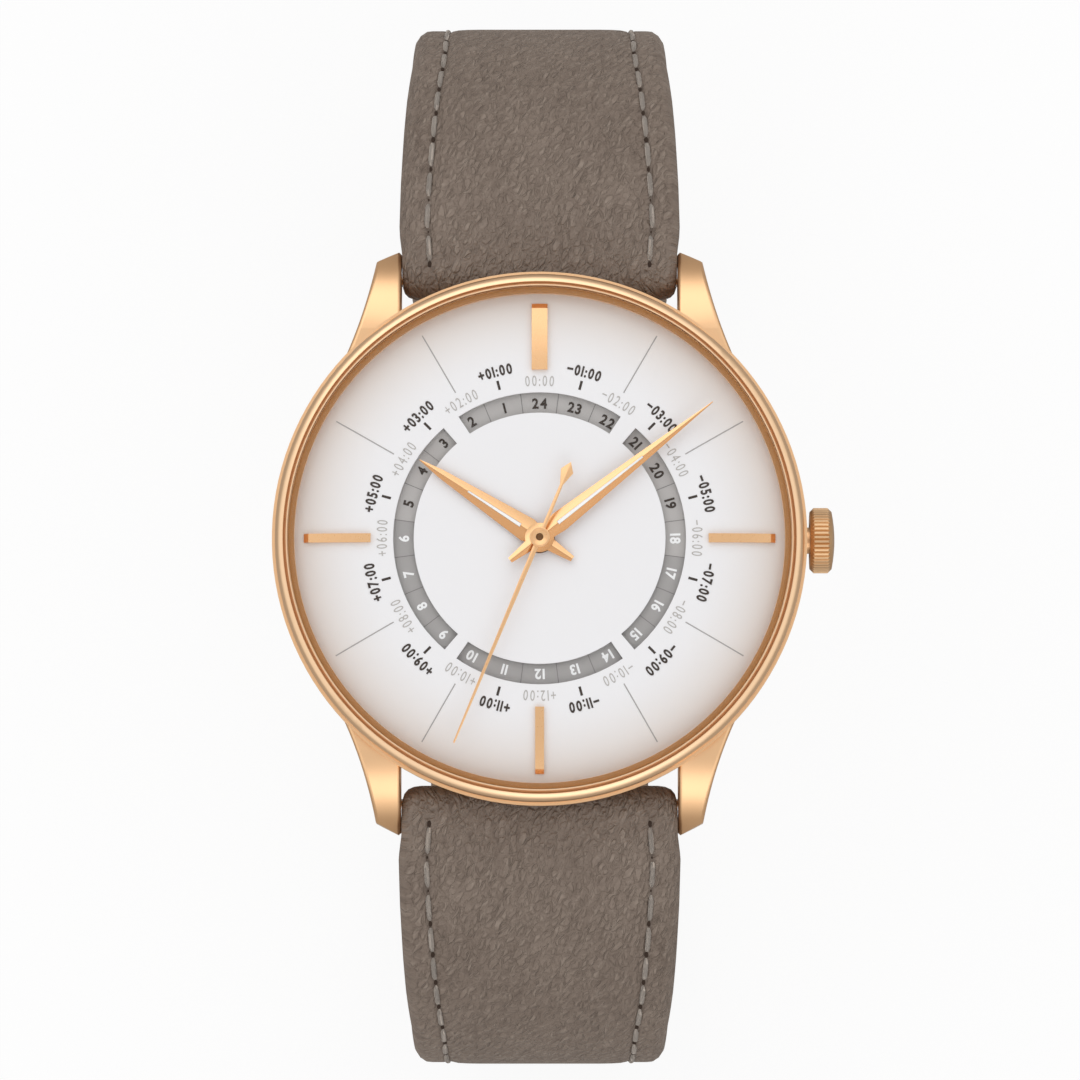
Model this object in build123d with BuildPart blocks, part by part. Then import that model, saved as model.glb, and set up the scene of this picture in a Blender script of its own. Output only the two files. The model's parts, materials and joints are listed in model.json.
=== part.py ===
from build123d import *
import os
from math import atan2, ceil, cos, degrees, hypot, radians, sin, sqrt

# World time wristwatch with an automatic movement and an open two-piece strap, in millimetres.
# The origin is the centre of the back glass's outer face. +Z points out of the dial,
# +Y to 12 o'clock and +X to the crown at 3 o'clock.

os.makedirs("parts", exist_ok=True)

# Clearances and the length by which cuts run past what they cut
overrun = 3.0
run_gap = 0.03          # shaft in its bore, on the radius
seat_gap = 0.02         # a fixed piece in its seat
wheel_gap = 0.10        # between wheels that lie over each other

# Plan sizes of the case, all from the radius of the movement's plate
plate_r = 12.8
ring_w = 2.4            # movement ring round the plate
back_glass_in = 1.8
back_lip_w = 0.5
back_flange_w = 2.0
back_foot_w = 0.8
ring_bore_r = plate_r + ring_w      # bore of the case that holds the movement ring
back_glass_r = ring_bore_r - back_glass_in
back_lip_r = back_glass_r - back_lip_w
back_flange_r = ring_bore_r + back_flange_w
back_screw_pitch_r = ring_bore_r + back_flange_w / 2
back_screw_count = 6
case_foot_r = back_flange_r + back_foot_w
case_flare = 2.2        # the case's rim lies this far outside its foot
case_waist_in = 0.65
bezel_in = 0.25
bezel_belly_in = 0.11
bezel_crest_in = 0.6
bezel_groove_in = 0.68
bezel_ridge_in = 0.83
bezel_w = 0.95
crystal_seat_w = 0.5
crystal_wall = 0.8
dial_lap = 0.1
dial_gap = 0.15
case_r = case_foot_r + case_flare
case_waist_r = case_r - case_waist_in
bezel_r = case_r - bezel_in
bezel_belly_r = bezel_r - bezel_belly_in
bezel_crest_r = bezel_r - bezel_crest_in
bezel_groove_r = bezel_r - bezel_groove_in
bezel_ridge_r = bezel_r - bezel_ridge_in
crystal_r = bezel_r - bezel_w
dial_opening_r = crystal_r - crystal_seat_w
dial_r = dial_opening_r + dial_lap
dial_bore_r = dial_r + dial_gap
back_screw_head_r = 0.65
back_screw_head_t = 0.35
back_screw_r = 0.35
back_screw_depth = 1.6
back_slot_w = 0.2
back_slot_t = 0.15
back_gasket_w = 0.5
back_gasket_t = 0.4
back_notch_r = 0.7
back_glass_chamfer = 0.15

# Case, heights from the back
back_proud = 0.10       # the back glass stands this far out of its ring
back_glass_t = 1.0
back_flange_t = 0.6
back_plug_t = 0.8
case_foot_z = back_proud + back_flange_t
back_top_z = case_foot_z + back_plug_t
waist_z = 3.3
rim_t = 0.7             # straight band of the case under the bezel
bezel_h = 1.4
bezel_lip_t = 0.4
bezel_side_t = 0.35
bezel_belly_drop = 0.48
bezel_groove_t = 0.3
crystal_gasket_t = 0.3
crystal_edge_t = 0.9
crystal_inner_wall_t = 0.6
crystal_dome_h = 2.2
crystal_centre_t = 1.1

# Movement, heights
rotor_gap = 0.3
rotor_plate_t = 0.3
rotor_rim_t = 0.75
ratchet_gap = 0.15
ratchet_t = 0.3
bridge_t = 0.6
wheel_t = 0.15
drum_h = 0.7
plate_t = 0.6
motion_t = 0.12
motion_gap = 0.06
disc_t = 0.15
disc_to_dial = 0.23
dial_t = 0.4
dial_drop = 0.7         # how far the dial's edge lies below its middle
dial_flat_r = 12.5
hour_hand_gap = 0.3
hand_t = 0.2
minute_hand_gap = 0.2
second_hand_gap = 0.15
second_hand_t = 0.1

rotor_z = back_glass_t + rotor_gap
ratchet_z = rotor_z + rotor_rim_t + ratchet_gap
bridge_z = ratchet_z + ratchet_t
cavity_z = bridge_z + bridge_t
fourth_z = cavity_z + wheel_gap
drum_z = fourth_z + wheel_t + wheel_gap
drum_top_z = drum_z + drum_h
centre_wheel_z = drum_top_z + wheel_gap
plate_z = centre_wheel_z + wheel_t + wheel_gap
plate_top_z = plate_z + plate_t
minute_wheel_z = plate_top_z + motion_gap
hour_wheel_z = minute_wheel_z + motion_t + motion_gap
driver_z = hour_wheel_z + motion_t + motion_gap
disc_gear_z = driver_z + motion_t + motion_gap
disc_z = disc_gear_z + motion_t
dial_z = disc_z + disc_t + disc_to_dial
dial_top_z = dial_z + dial_t
case_top_z = dial_top_z
rim_z = case_top_z - rim_t
bezel_top_z = case_top_z + bezel_h
bezel_belly_z = bezel_top_z - bezel_belly_drop
hour_hand_z = dial_top_z + hour_hand_gap
minute_hand_z = hour_hand_z + hand_t + minute_hand_gap
second_hand_z = minute_hand_z + hand_t + second_hand_gap
ledge_z = dial_z - dial_drop
crystal_seat_z = case_top_z + bezel_lip_t
crystal_z = crystal_seat_z + crystal_gasket_t
crystal_apex_z = crystal_z + crystal_edge_t + crystal_dome_h
stem_drop = 0.6
stem_z = plate_z - stem_drop

# Lugs and spring bars
lug_gap = 21.0
lug_tip_w = 1.9
lug_side_w = 2.7
lug_flare_w = 4.5
lug_reach = 2.0         # the lugs' tips lie this far outside the case
lug_tip_in = 0.2        # corner cut at the tip's inner side
lug_tip_out_in = 0.9
lug_root_in = 9.2
lug_side_in = 2.3
lug_flare_in = 7.0
lug_crown_in = 4.2
lug_fall_in = 1.85
lug_chin_in = 0.6
lug_belly_in = 2.4
lug_in = lug_gap / 2
lug_tip_out_x = lug_in + lug_tip_w
lug_side_x = lug_in + lug_side_w
lug_flare_x = lug_in + lug_flare_w
lug_root_y = case_r - lug_root_in
lug_tip_y = case_r + lug_reach
lug_tip_out_y = lug_tip_y - lug_tip_out_in
lug_side_y = case_r - lug_side_in
lug_flare_y = case_r - lug_flare_in
lug_crown_y = case_r - lug_crown_in
lug_fall_y = lug_tip_y - lug_fall_in
lug_chin_y = lug_tip_y - lug_chin_in
lug_belly_y = case_r - lug_belly_in
lug_top_z = 5.75
lug_fall_z = 4.15
lug_nose_z = 0.9
lug_nose_past = 0.3
lug_chin_z = -0.25
lug_belly_z = 0.55
lug_foot_z = 1.0
lug_round = 0.3
bar_out = 0.2           # spring bars lie this far outside the case, under the lugs' tips
bar_y = case_r + bar_out
bar_z = 2.2
bar_r = 0.9
bar_tip_r = 0.4
bar_tip_len = 0.75
bar_end_gap = 0.15
bar_groove_in = 0.9
bar_groove_w = 0.4
bar_groove_r = 0.6
strap_bar_gap = 0.06
seat_in = 2.2           # the case is cut flat this far inside the bars, between the lugs
seat_flat_y = bar_y - seat_in
seat_roof_z = 5.2

# Crown and stem
crown_r = 2.475
crown_gap = 0.25
crown_in_x = case_r + crown_gap
crown_len = 1.88
crown_flutes = 46
crown_flute_depth = 0.14
crown_edge = 0.3
crown_dome = 0.22
flute_shares = (0.0, 0.45, 0.72)
crown_recess_r = 1.35
crown_recess_len = 0.95
tube_r = 1.0
tube_bore_r = 0.6
tube_shoulder = 0.4
tube_in_x = ring_bore_r + tube_shoulder
tube_cover = 0.75       # the tube reaches this far into the crown
stem_r = 0.45
stem_pilot_r = 0.25
stem_pilot_len = 0.8
stem_in_crown = 0.8
pinion_len = 0.9
pinion_r = 1.25
pinion_teeth = 14
clutch_len = 1.4
clutch_r = 1.05
clutch_groove_w = 0.4
clutch_groove_d = 0.3
clutch_gap = 0.15
keyless_slot_half = 1.6
stem_hole_r = 0.65

# Movement, plan sizes
plate_wall = 0.8
ring_gap = 0.05
ring_lip = 0.5
ring_back_gap = 0.1
barrel_bridge_shares = (
    (-1.1, 0.21), (-0.2, 0.21), (0.14, 0.14), (0.22, -0.227), (0.36, -0.32), (1.1, -0.45),
    (1.1, 1.1), (-1.1, 1.1),
)
train_bridge_shares = (
    (-1.1, 0.185), (-0.21, 0.185), (0.117, 0.117), (0.195, -0.24), (0.347, -0.345), (1.1, -0.477),
    (1.1, -1.1), (0.17, -1.1), (0.047, -0.595), (-0.148, -0.41), (-1.1, -0.41),
)
cock_shares = ((-0.19, -0.595), (-0.09, -1.1), (-0.78, -1.1), (-0.75, -0.617), (-0.39, -0.55))
cock_head_r = 1.3
bridge_screw_in = 1.5
bridge_screw_pitch_r = plate_r - bridge_screw_in
bridge_screw_angles = (130.0, 25.0, -22.0, 178.0, 300.0, 322.0, 228.0)
bridge_screw_r = 0.3
bridge_head_r = 0.6
bridge_head_t = 0.3
bridge_shank = 0.9      # length of a screw in the plate's pillar
pillar_r = 0.8
pivot_post_r = 0.4
barrel_arbor_r = 0.5
stud_r = 0.2
jewel_sink_r = 0.35
pallet_bridge_gap = 0.08
pallet_bridge_t = 0.1
pallet_bridge_half = 1.6
pallet_bridge_w = 1.0
pallet_post_r = 0.4
crown_wheel_core_r = 0.7
arbor_r = 0.2
pivot_r = 0.1
pivot_len = 0.25
jewel_r = 0.55
jewel_t = 0.3
rotor_in = 0.5
rotor_r = plate_r - rotor_in
rotor_rim_w = 2.7
rotor_hub_r = 2.4
rotor_start = -32.0
rotor_sweep = 184.0
bearing_r = 0.95
bearing_flange_r = 1.3
bearing_flange_t = 0.15
bearing_play = 0.03
rotor_hub_t = 0.6
rotor_window_in_r = 3.6
rotor_window_out_r = 8.6
rotor_window_edges = (18.0, 82.0, 102.0, 166.0)     # from the rotor's first edge

# Gear train: teeth, modules and directions from one centre to the next
barrel_teeth, centre_pinion_teeth, barrel_module, barrel_angle = 72, 12, 0.145, 75.0
centre_teeth, third_pinion_teeth, centre_module, third_angle = 80, 10, 0.09, 200.0
third_teeth, fourth_pinion_teeth = 75, 10
fourth_teeth, escape_pinion_teeth, fourth_module, escape_angle = 80, 8, 0.09, 260.0
ratchet_teeth, crown_wheel_teeth, ratchet_module = 49, 26, 0.2
cannon_teeth, minute_teeth, minute_module, minute_angle = 12, 36, 0.1, 215.0
minute_pinion_teeth, hour_teeth = 10, 40
driver_teeth, relay_teeth, driver_module, relay_angle = 20, 30, 0.09, 90.0
relay_pinion_teeth, disc_gear_teeth = 24, 32
tip_share = 0.8         # tooth height above the pitch circle, in modules
root_share = 1.05
tooth_shares = (-0.34, -0.10, 0.10, 0.34)   # a tooth's corners, in pitches
rim_share = 2.6         # depth of a wheel's rim inside the pitch circle, in modules
spoke_w = 0.32
wheel_hub_r = 0.55

escape_tooth_count = 15
escape_r = 2.0
escape_root_r = 1.55
escape_rim_r = 1.25
escape_hub_r = 0.42
escape_rake_share = 0.32
escape_land_share = 0.42
lever_angle = 235.0
lever_reach = 2.62      # escape wheel's centre to the pallet's pivot
balance_reach = 2.62    # pallet's pivot to the balance staff
pallet_span = 1.32      # half the distance between the two pallet stones
pallet_back = 0.95
pallet_w = 0.3
fork_len = 2.0
fork_w = 0.55
fork_slot_w = 0.2
fork_slot_len = 0.35
balance_r = 2.7
balance_rim_w = 0.35
balance_t = 0.2
balance_gap = 0.2       # room for the hairspring over the balance
lever_z_gap = 0.12
balance_arm_w = 0.3
roller_r = 0.4
hairspring_in_r = 0.5
hairspring_pitch = 0.2
hairspring_turns = 7
hairspring_w = 0.05
hairspring_t = 0.1
hairspring_gap = 0.05
mainspring_in_r = 1.6
mainspring_pitch = 0.42
mainspring_turns = 7
mainspring_w = 0.14
drum_wall = 0.2
drum_floor_t = 0.15
drum_teeth_t = 0.25
barrel_hub_r = 1.2
click_r = 0.6
click_tip_w = 0.3
click_angle = 128.0
click_lead = 20.0
click_gap = 0.06
click_out = 1.0

# Dial, 24 hour disc and markers
window_in_r = 9.5
window_out_r = 11.05
window_edges = ((56.3, 123.7), (131.0, 229.7), (235.4, 304.6), (310.3, 409.0))
dial_hole_r = 1.15
dial_foot_r = 0.3
dial_foot_pitch_r = 11.9
dial_foot_angles = (20.0, 200.0)
dial_foot_depth = 0.25
disc_r = 11.4
marker_in_r = 12.75
marker_edge = 0.8       # from the dial's edge to the markers
marker_out_r = dial_r - marker_edge
marker_h = 0.35
marker_w = 0.67
marker_12_w = 1.19
marker_facet = 0.35
marker_gap = 0.01
marker_facet_drop = 0.22

# Hands: half widths and lengths from the hub's centre
hand_hub_r = 1.1
hour_angle = 147.0
minute_hand_angle = 38.1
second_angle = 247.4
hour_shape = ((-2.95, 0.22), (0.0, 0.62), (1.1, 0.94), (8.9, 0.33), (10.8, 0.03))
minute_tip_in = 1.9
minute_tip = dial_opening_r - minute_tip_in
minute_shape = ((-2.83, 0.22), (0.0, 0.55), (1.9, 0.78), (9.6, 0.415), (minute_tip, 0.03))
hour_slot = ((1.7, 0.15), (6.45, 0.08))
minute_slot = ((1.75, 0.15), (9.9, 0.08))
hand_crown_r = 3.4      # radius of the hands' rounded top
inlay_gap = 0.02
inlay_t = 0.17
second_hub_r = 0.63
second_half_w = 0.115
second_tip_in = 1.7
second_tip = dial_opening_r - second_tip_in
second_tail = 6.15
second_kite_in = 4.3
second_kite_mid = 5.4
second_kite_half_w = 0.5
second_tip_half_w = 0.06
second_pipe = 0.35
seconds_arbor_r = 0.15
centre_arbor_r = 0.33
cannon_bore_r = 0.36
cannon_r = 0.47
hour_bore_r = 0.5
hour_pipe_r = 0.7
disc_bore_r = 0.75

# Strap: width, then thickness, side height and crown slope at places along it
strap_lug_gap = 0.1
strap_taper = 2.8
strap_lug_w = lug_gap - 2 * strap_lug_gap
strap_end_w = strap_lug_w - strap_taper
strap_hinge_t = 3.8
strap_pad_t = 4.2
strap_end_t = 2.4
strap_pad_at = 8.0
strap_side_t = 1.8
strap_pad_slope = 3.6
strap_end_slope = 1.0
strap_step = 9.0        # largest turn between two sections, in degrees
# Runs of the centre line: length, heading at its start and end, in degrees below outward
short_runs = ((8.0, 8.0, 22.0), (10.0, 22.0, 50.0), (12.0, 50.0, 92.0), (22.0, 92.0, 125.0))
long_runs = ((6.5, 8.0, 22.0), (9.0, 22.0, 50.0), (12.0, 50.0, 92.0), (20.0, 92.0, 92.0))
long_turn_r = 20.0
long_flat_len = 26.0
tail_round_r = 12.0
hole_count = 7
hole_first = 50.0
hole_pitch = 6.0
hole_r = 0.85

# Buckle and keepers
buckle_bar_r = 0.65
buckle_loop_t = 2.6
buckle_bar_h = 1.4      # bar's axis above the ground that the watch stands on
buckle_wall = 2.0
buckle_w = strap_end_w + 2 * buckle_wall
buckle_len = 9.5
buckle_ear_back = 1.1
buckle_cross_w = 2.2
buckle_h = 2.2
buckle_round = 2.4
buckle_edge = 0.35
buckle_side_gap = 0.3
buckle_bar_short = 0.4
tongue_loop_r = 1.15
tongue_w = 2.2
tongue_tip_w = 1.5
tongue_t = 0.75
tongue_lift = 0.2       # tongue's underside above the ground
tongue_notch_gap = 0.1
tongue_past = 0.5
tongue_slot_gap = 0.35
tongue_slot_len = 4.6
keeper_w = 5.0
keeper_t = 1.2
keeper_room = 2.7       # space over the strap for its other half
keeper_side_gap = 0.3
keeper_seat_gap = 0.06
fixed_keeper_at = 6.5   # from the buckle's bar to the fixed keeper
free_keeper_gap = 0.6

low_centre = (Align.CENTER, Align.CENTER, Align.MIN)


def polar(radius, angle):
    return radius * cos(radians(angle)), radius * sin(radians(angle))


def beside(place, radius, angle):
    dx, dy = polar(radius, angle)
    return place[0] + dx, place[1] + dy


def post(place, low, high, radius, mode=Mode.ADD):
    with Locations((place[0], place[1], low)):
        Cylinder(radius, high - low, align=low_centre, mode=mode)


def pitch_radius(teeth, module):
    return teeth * module / 2


def mesh_phase(direction, teeth, phase, other_teeth):
    # Angle of a tooth of the second gear that puts it in mesh with the first
    return direction + 180 + (180 - (phase - direction) * teeth) / other_teeth


def gear_points(teeth, module, phase):
    radius = pitch_radius(teeth, module)
    root, tip = radius - root_share * module, radius + tip_share * module
    step = 360 / teeth
    radii = (root, tip, tip, root)
    return [
        polar(r, phase + (tooth + share) * step)
        for tooth in range(teeth)
        for share, r in zip(tooth_shares, radii)
    ]


def gear_face(plane, teeth, module, phase=0.0, spokes=0, hub_r=wheel_hub_r, width=spoke_w):
    # A gear's outline, with windows between its spokes
    rim_in = pitch_radius(teeth, module) - rim_share * module
    with BuildSketch(plane) as face:
        with BuildLine():
            Polyline(*gear_points(teeth, module, phase), close=True)
        make_face()
        if spokes:
            Circle(rim_in, mode=Mode.SUBTRACT)
            Circle(hub_r)
            with PolarLocations(rim_in / 2, spokes):
                Rectangle(rim_in, width)
    return face.sketch


def at(place, level):
    return Plane((place[0], place[1], level))


def save(name, builder):
    builder.part.label = name
    export_step(builder.part, f"parts/{name}.step")


def dome_points(edge, apex_z):
    # Middle and end of an arc from an edge point to an apex on the dial's axis
    rise = apex_z - edge.Y
    ball = (edge.X**2 + rise**2) / (2 * rise)
    half = edge.X / 2
    return (half, apex_z - ball + sqrt(ball**2 - half**2)), (0, apex_z)


# Places in the movement
centre = (0.0, 0.0)
barrel_place = polar(pitch_radius(barrel_teeth + centre_pinion_teeth, barrel_module), barrel_angle)
third_place = polar(pitch_radius(centre_teeth + third_pinion_teeth, centre_module), third_angle)
third_module = 2 * hypot(*third_place) / (third_teeth + fourth_pinion_teeth)
escape_place = polar(pitch_radius(fourth_teeth + escape_pinion_teeth, fourth_module), escape_angle)
pallet_place = beside(escape_place, lever_reach, lever_angle)
balance_place = beside(pallet_place, balance_reach, lever_angle)
winding_sum = pitch_radius(ratchet_teeth + crown_wheel_teeth, ratchet_module)
crown_wheel_x = barrel_place[0] + sqrt(winding_sum**2 - barrel_place[1] ** 2)
crown_wheel_place = (crown_wheel_x, 0.0)
crown_wheel_angle = degrees(atan2(-barrel_place[1], crown_wheel_x - barrel_place[0]))
pinion_x = crown_wheel_x + pitch_radius(crown_wheel_teeth, ratchet_module) - pinion_len
clutch_x = pinion_x + pinion_len + clutch_gap
minute_place = polar(pitch_radius(cannon_teeth + minute_teeth, minute_module), minute_angle)
hour_module = 2 * hypot(*minute_place) / (minute_pinion_teeth + hour_teeth)
relay_place = polar(pitch_radius(driver_teeth + relay_teeth, driver_module), relay_angle)
disc_module = 2 * hypot(*relay_place) / (relay_pinion_teeth + disc_gear_teeth)
rim_in_r = plate_r - plate_wall
bridge_screw_places = [polar(bridge_screw_pitch_r, angle) for angle in bridge_screw_angles]
balance_z = cavity_z + balance_gap
pallet_bridge_z = balance_z + balance_t + pallet_bridge_gap
lever_z = pallet_bridge_z + pallet_bridge_t + lever_z_gap
third_z = drum_z + hairspring_gap

# Lugs: a plan shape cut to a side shape that falls away at the tip
with BuildPart() as lug:
    with BuildSketch(Plane.XY.offset(lug_chin_z - overrun)):
        with BuildLine():
            inner = Polyline(
                (lug_flare_x, lug_root_y),
                (lug_in, lug_root_y),
                (lug_in, lug_tip_y - lug_tip_in),
                (lug_in + lug_tip_in, lug_tip_y),
                (lug_tip_out_x, lug_tip_out_y),
            )
            flank = ThreePointArc(
                (lug_tip_out_x, lug_tip_out_y), (lug_side_x, lug_side_y), (lug_flare_x, lug_flare_y)
            )
            Line(flank @ 1, inner @ 0)
        make_face()
    extrude(amount=lug_top_z - lug_chin_z + 2 * overrun)
    with BuildSketch(Plane.YZ):
        with BuildLine():
            brow = Line((lug_root_y, lug_top_z), (lug_crown_y, lug_top_z))
            tip = (lug_tip_y + lug_nose_past, lug_nose_z)
            nose = ThreePointArc(brow @ 1, (lug_fall_y, lug_fall_z), tip)
            chin = Line(nose @ 1, (lug_chin_y, lug_chin_z))
            belly = ThreePointArc(chin @ 1, (lug_belly_y, lug_belly_z), (lug_root_y, lug_foot_z))
            Line(belly @ 1, brow @ 0)
        make_face()
    extrude(amount=lug_flare_x + overrun, mode=Mode.INTERSECT)
    top_edges = lug.edges().filter_by(lambda e: e.center().Y > lug_crown_y and e.center().Z > lug_fall_z)
    fillet(top_edges, lug_round)

with BuildPart() as mid_case:
    add(lug.part)
    mirror(about=Plane.YZ)
    mirror(about=Plane.XZ)
    with BuildSketch(Plane.XZ):
        with BuildLine():
            top = Line((0, case_top_z), (case_r, case_top_z))
            band = Line(top @ 1, (case_r, rim_z))
            flank = ThreePointArc(band @ 1, (case_waist_r, waist_z), (case_foot_r, case_foot_z))
            foot = Line(flank @ 1, (0, case_foot_z))
            Line(foot @ 1, top @ 0)
        make_face()
    revolve(axis=Axis.Z)
    post(centre, case_foot_z - overrun, case_top_z + overrun, ring_bore_r, Mode.SUBTRACT)
    post(centre, ledge_z, case_top_z + overrun, dial_bore_r, Mode.SUBTRACT)
    for side in (1, -1):
        with Locations((0, side * (seat_flat_y + overrun), seat_roof_z)):
            Box(
                lug_gap, 2 * overrun, seat_roof_z + overrun,
                align=(Align.CENTER, Align.CENTER, Align.MAX), mode=Mode.SUBTRACT,
            )
    with Locations(*[
        Location((side * lug_in, end * bar_y, bar_z), (0, 90, 0)) for side in (1, -1) for end in (1, -1)
    ]):
        Cylinder(bar_tip_r + seat_gap, 2 * (bar_tip_len + bar_end_gap), mode=Mode.SUBTRACT)
    with Locations(Location((0, 0, stem_z), (0, 90, 0))):
        Cylinder(tube_r, case_r + overrun, align=low_centre, mode=Mode.SUBTRACT)
    with PolarLocations(back_screw_pitch_r, back_screw_count):
        Cylinder(back_screw_r, 2 * (case_foot_z + back_screw_depth), mode=Mode.SUBTRACT)
save("mid_case", mid_case)

with BuildPart() as bezel:
    with BuildSketch(Plane.XZ):
        with BuildLine():
            shelf = Polyline(
                (crystal_r + seat_gap, bezel_top_z),
                (crystal_r + seat_gap, crystal_seat_z),
                (dial_opening_r, crystal_seat_z),
                (dial_opening_r, case_top_z),
                (bezel_r, case_top_z),
                (bezel_r, case_top_z + bezel_side_t),
            )
            band = ThreePointArc(
                shelf @ 1,
                (bezel_belly_r, bezel_belly_z),
                (bezel_crest_r, bezel_top_z - bezel_groove_t / 2),
            )
            Polyline(
                band @ 1,
                (bezel_groove_r, bezel_top_z - bezel_groove_t),
                (bezel_ridge_r, bezel_top_z),
                shelf @ 0,
            )
        make_face()
    revolve(axis=Axis.Z)
save("bezel", bezel)

with BuildPart() as crystal:
    with BuildSketch(Plane.XZ):
        with BuildLine():
            edge = Polyline(
                (crystal_r, crystal_z + crystal_edge_t),
                (crystal_r, crystal_z),
                (crystal_r - crystal_wall, crystal_z),
                (crystal_r - crystal_wall, crystal_z + crystal_inner_wall_t),
            )
            inside = ThreePointArc(edge @ 1, *dome_points(edge @ 1, crystal_apex_z - crystal_centre_t))
            axis = Line(inside @ 1, (0, crystal_apex_z))
            ThreePointArc(edge @ 0, *dome_points(edge @ 0, crystal_apex_z))
        make_face()
    revolve(axis=Axis.Z)
save("crystal", crystal)

with BuildPart() as crystal_gasket:
    post(centre, crystal_seat_z, crystal_z, crystal_r)
    post(centre, crystal_seat_z, crystal_z, dial_opening_r + seat_gap, Mode.SUBTRACT)
save("crystal_gasket", crystal_gasket)

# Case back: a screwed ring that holds a glass, with a gasket round its plug
plug_r = ring_bore_r - seat_gap
with BuildPart() as case_back_ring:
    post(centre, back_proud, case_foot_z, back_flange_r)
    post(centre, case_foot_z, back_top_z, plug_r)
    post(centre, back_proud, back_top_z, back_lip_r, Mode.SUBTRACT)
    post(centre, back_proud, back_glass_t, back_glass_r + seat_gap, Mode.SUBTRACT)
    groove_z = case_foot_z + (back_plug_t - back_gasket_t) / 2
    with BuildSketch(Plane.XZ):
        with Locations((plug_r - back_gasket_w / 2, groove_z + back_gasket_t / 2)):
            Rectangle(back_gasket_w, back_gasket_t)
    revolve(axis=Axis.Z, mode=Mode.SUBTRACT)
    with PolarLocations(back_screw_pitch_r, back_screw_count):
        Cylinder(back_screw_r + seat_gap, 2 * case_foot_z, mode=Mode.SUBTRACT)
        Cylinder(
            back_screw_head_r + seat_gap, 2 * (back_proud + back_screw_head_t), mode=Mode.SUBTRACT,
        )
    with BuildSketch(Plane.XY.offset(back_proud)):
        with PolarLocations(back_flange_r, back_screw_count, start_angle=180 / back_screw_count):
            Circle(back_notch_r)
    extrude(amount=back_flange_t / 2, mode=Mode.SUBTRACT)
save("case_back_ring", case_back_ring)

with BuildPart() as case_back_glass:
    post(centre, 0, back_glass_t, back_glass_r)
    chamfer(case_back_glass.faces().sort_by(Axis.Z)[0].edges(), back_glass_chamfer)
save("case_back_glass", case_back_glass)

with BuildPart() as case_back_gasket:
    post(centre, groove_z, groove_z + back_gasket_t, plug_r)
    post(centre, groove_z, groove_z + back_gasket_t, plug_r - back_gasket_w, Mode.SUBTRACT)
save("case_back_gasket", case_back_gasket)


def screws(places, head_z, head_r, head_t, shank_r, shank_len, slot_w, slot_t):
    # Slotted screws whose heads look to the back; shanks run into the case or the main plate
    with BuildPart() as group:
        for x, y in places:
            post((x, y), head_z, head_z + head_t, head_r)
            post((x, y), head_z + head_t, head_z + head_t + shank_len, shank_r)
            with Locations(Location((x, y, head_z + slot_t / 2), (0, 0, degrees(atan2(y, x)) + 90))):
                Box(2 * head_r + slot_w, slot_w, slot_t, mode=Mode.SUBTRACT)
    return group


back_screw_step = 360 / back_screw_count
back_screw_places = [polar(back_screw_pitch_r, i * back_screw_step) for i in range(back_screw_count)]
back_shank_len = back_flange_t - back_screw_head_t + back_screw_depth - seat_gap
case_back_screws = screws(
    back_screw_places, back_proud, back_screw_head_r, back_screw_head_t,
    back_screw_r, back_shank_len, back_slot_w, back_slot_t,
)
save("case_back_screws", case_back_screws)

# Crown at 3 o'clock, its tube in the case wall, and the stem
stem_axis = Plane((0, 0, stem_z), x_dir=(0, 1, 0), z_dir=(1, 0, 0))
crown_out_x = crown_in_x + crown_len


def rod(start, end, radius, mode=Mode.ADD):
    with Locations(Location((start, 0, stem_z), (0, 90, 0))):
        Cylinder(radius, end - start, align=low_centre, mode=mode)


with BuildPart() as crown_tube:
    rod(tube_in_x, crown_in_x + tube_cover, tube_r)
    rod(tube_in_x, crown_in_x + tube_cover, tube_bore_r, Mode.SUBTRACT)
save("crown_tube", crown_tube)


def flute_points():
    step = 360 / crown_flutes
    radii = (crown_r, crown_r, crown_r - crown_flute_depth)
    return [
        polar(r, (i + share) * step)
        for i in range(crown_flutes)
        for share, r in zip(flute_shares, radii)
    ]


with BuildPart() as crown:
    with BuildSketch(stem_axis.offset(crown_in_x)):
        with BuildLine():
            Polyline(*flute_points(), close=True)
        make_face()
    extrude(amount=crown_len)
    with BuildSketch(Plane.XZ):
        with BuildLine():
            side = Polyline(
                (crown_in_x, stem_z),
                (crown_in_x, stem_z + crown_r - crown_edge),
                (crown_in_x + crown_edge, stem_z + crown_r),
                (crown_out_x - crown_edge - crown_dome, stem_z + crown_r),
                (crown_out_x - crown_dome, stem_z + crown_r - crown_edge),
            )
            cap_r = crown_r - crown_edge
            cap_ball = (cap_r**2 + crown_dome**2) / (2 * crown_dome)
            mid_x = crown_out_x - cap_ball + sqrt(cap_ball**2 - (cap_r / 2) ** 2)
            ThreePointArc(side @ 1, (mid_x, stem_z + cap_r / 2), (crown_out_x, stem_z))
            Line((crown_out_x, stem_z), side @ 0)
        make_face()
    revolve(axis=Axis((0, 0, stem_z), (1, 0, 0)), mode=Mode.INTERSECT)
    rod(crown_in_x, crown_in_x + crown_recess_len, crown_recess_r, Mode.SUBTRACT)
    rod(crown_in_x, crown_in_x + crown_recess_len + stem_in_crown, stem_r, Mode.SUBTRACT)
save("crown", crown)

with BuildPart() as crown_gasket:
    rod(crown_in_x + seat_gap, crown_in_x + tube_cover, crown_recess_r - seat_gap)
    rod(crown_in_x + seat_gap, crown_in_x + tube_cover, tube_r + run_gap, Mode.SUBTRACT)
save("crown_gasket", crown_gasket)

stem_pilot_x = pinion_x - stem_pilot_len
with BuildPart() as stem:
    rod(stem_pilot_x, pinion_x - run_gap, stem_pilot_r)
    rod(pinion_x - run_gap, crown_in_x + crown_recess_len + stem_in_crown, stem_r)
save("stem", stem)

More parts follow.
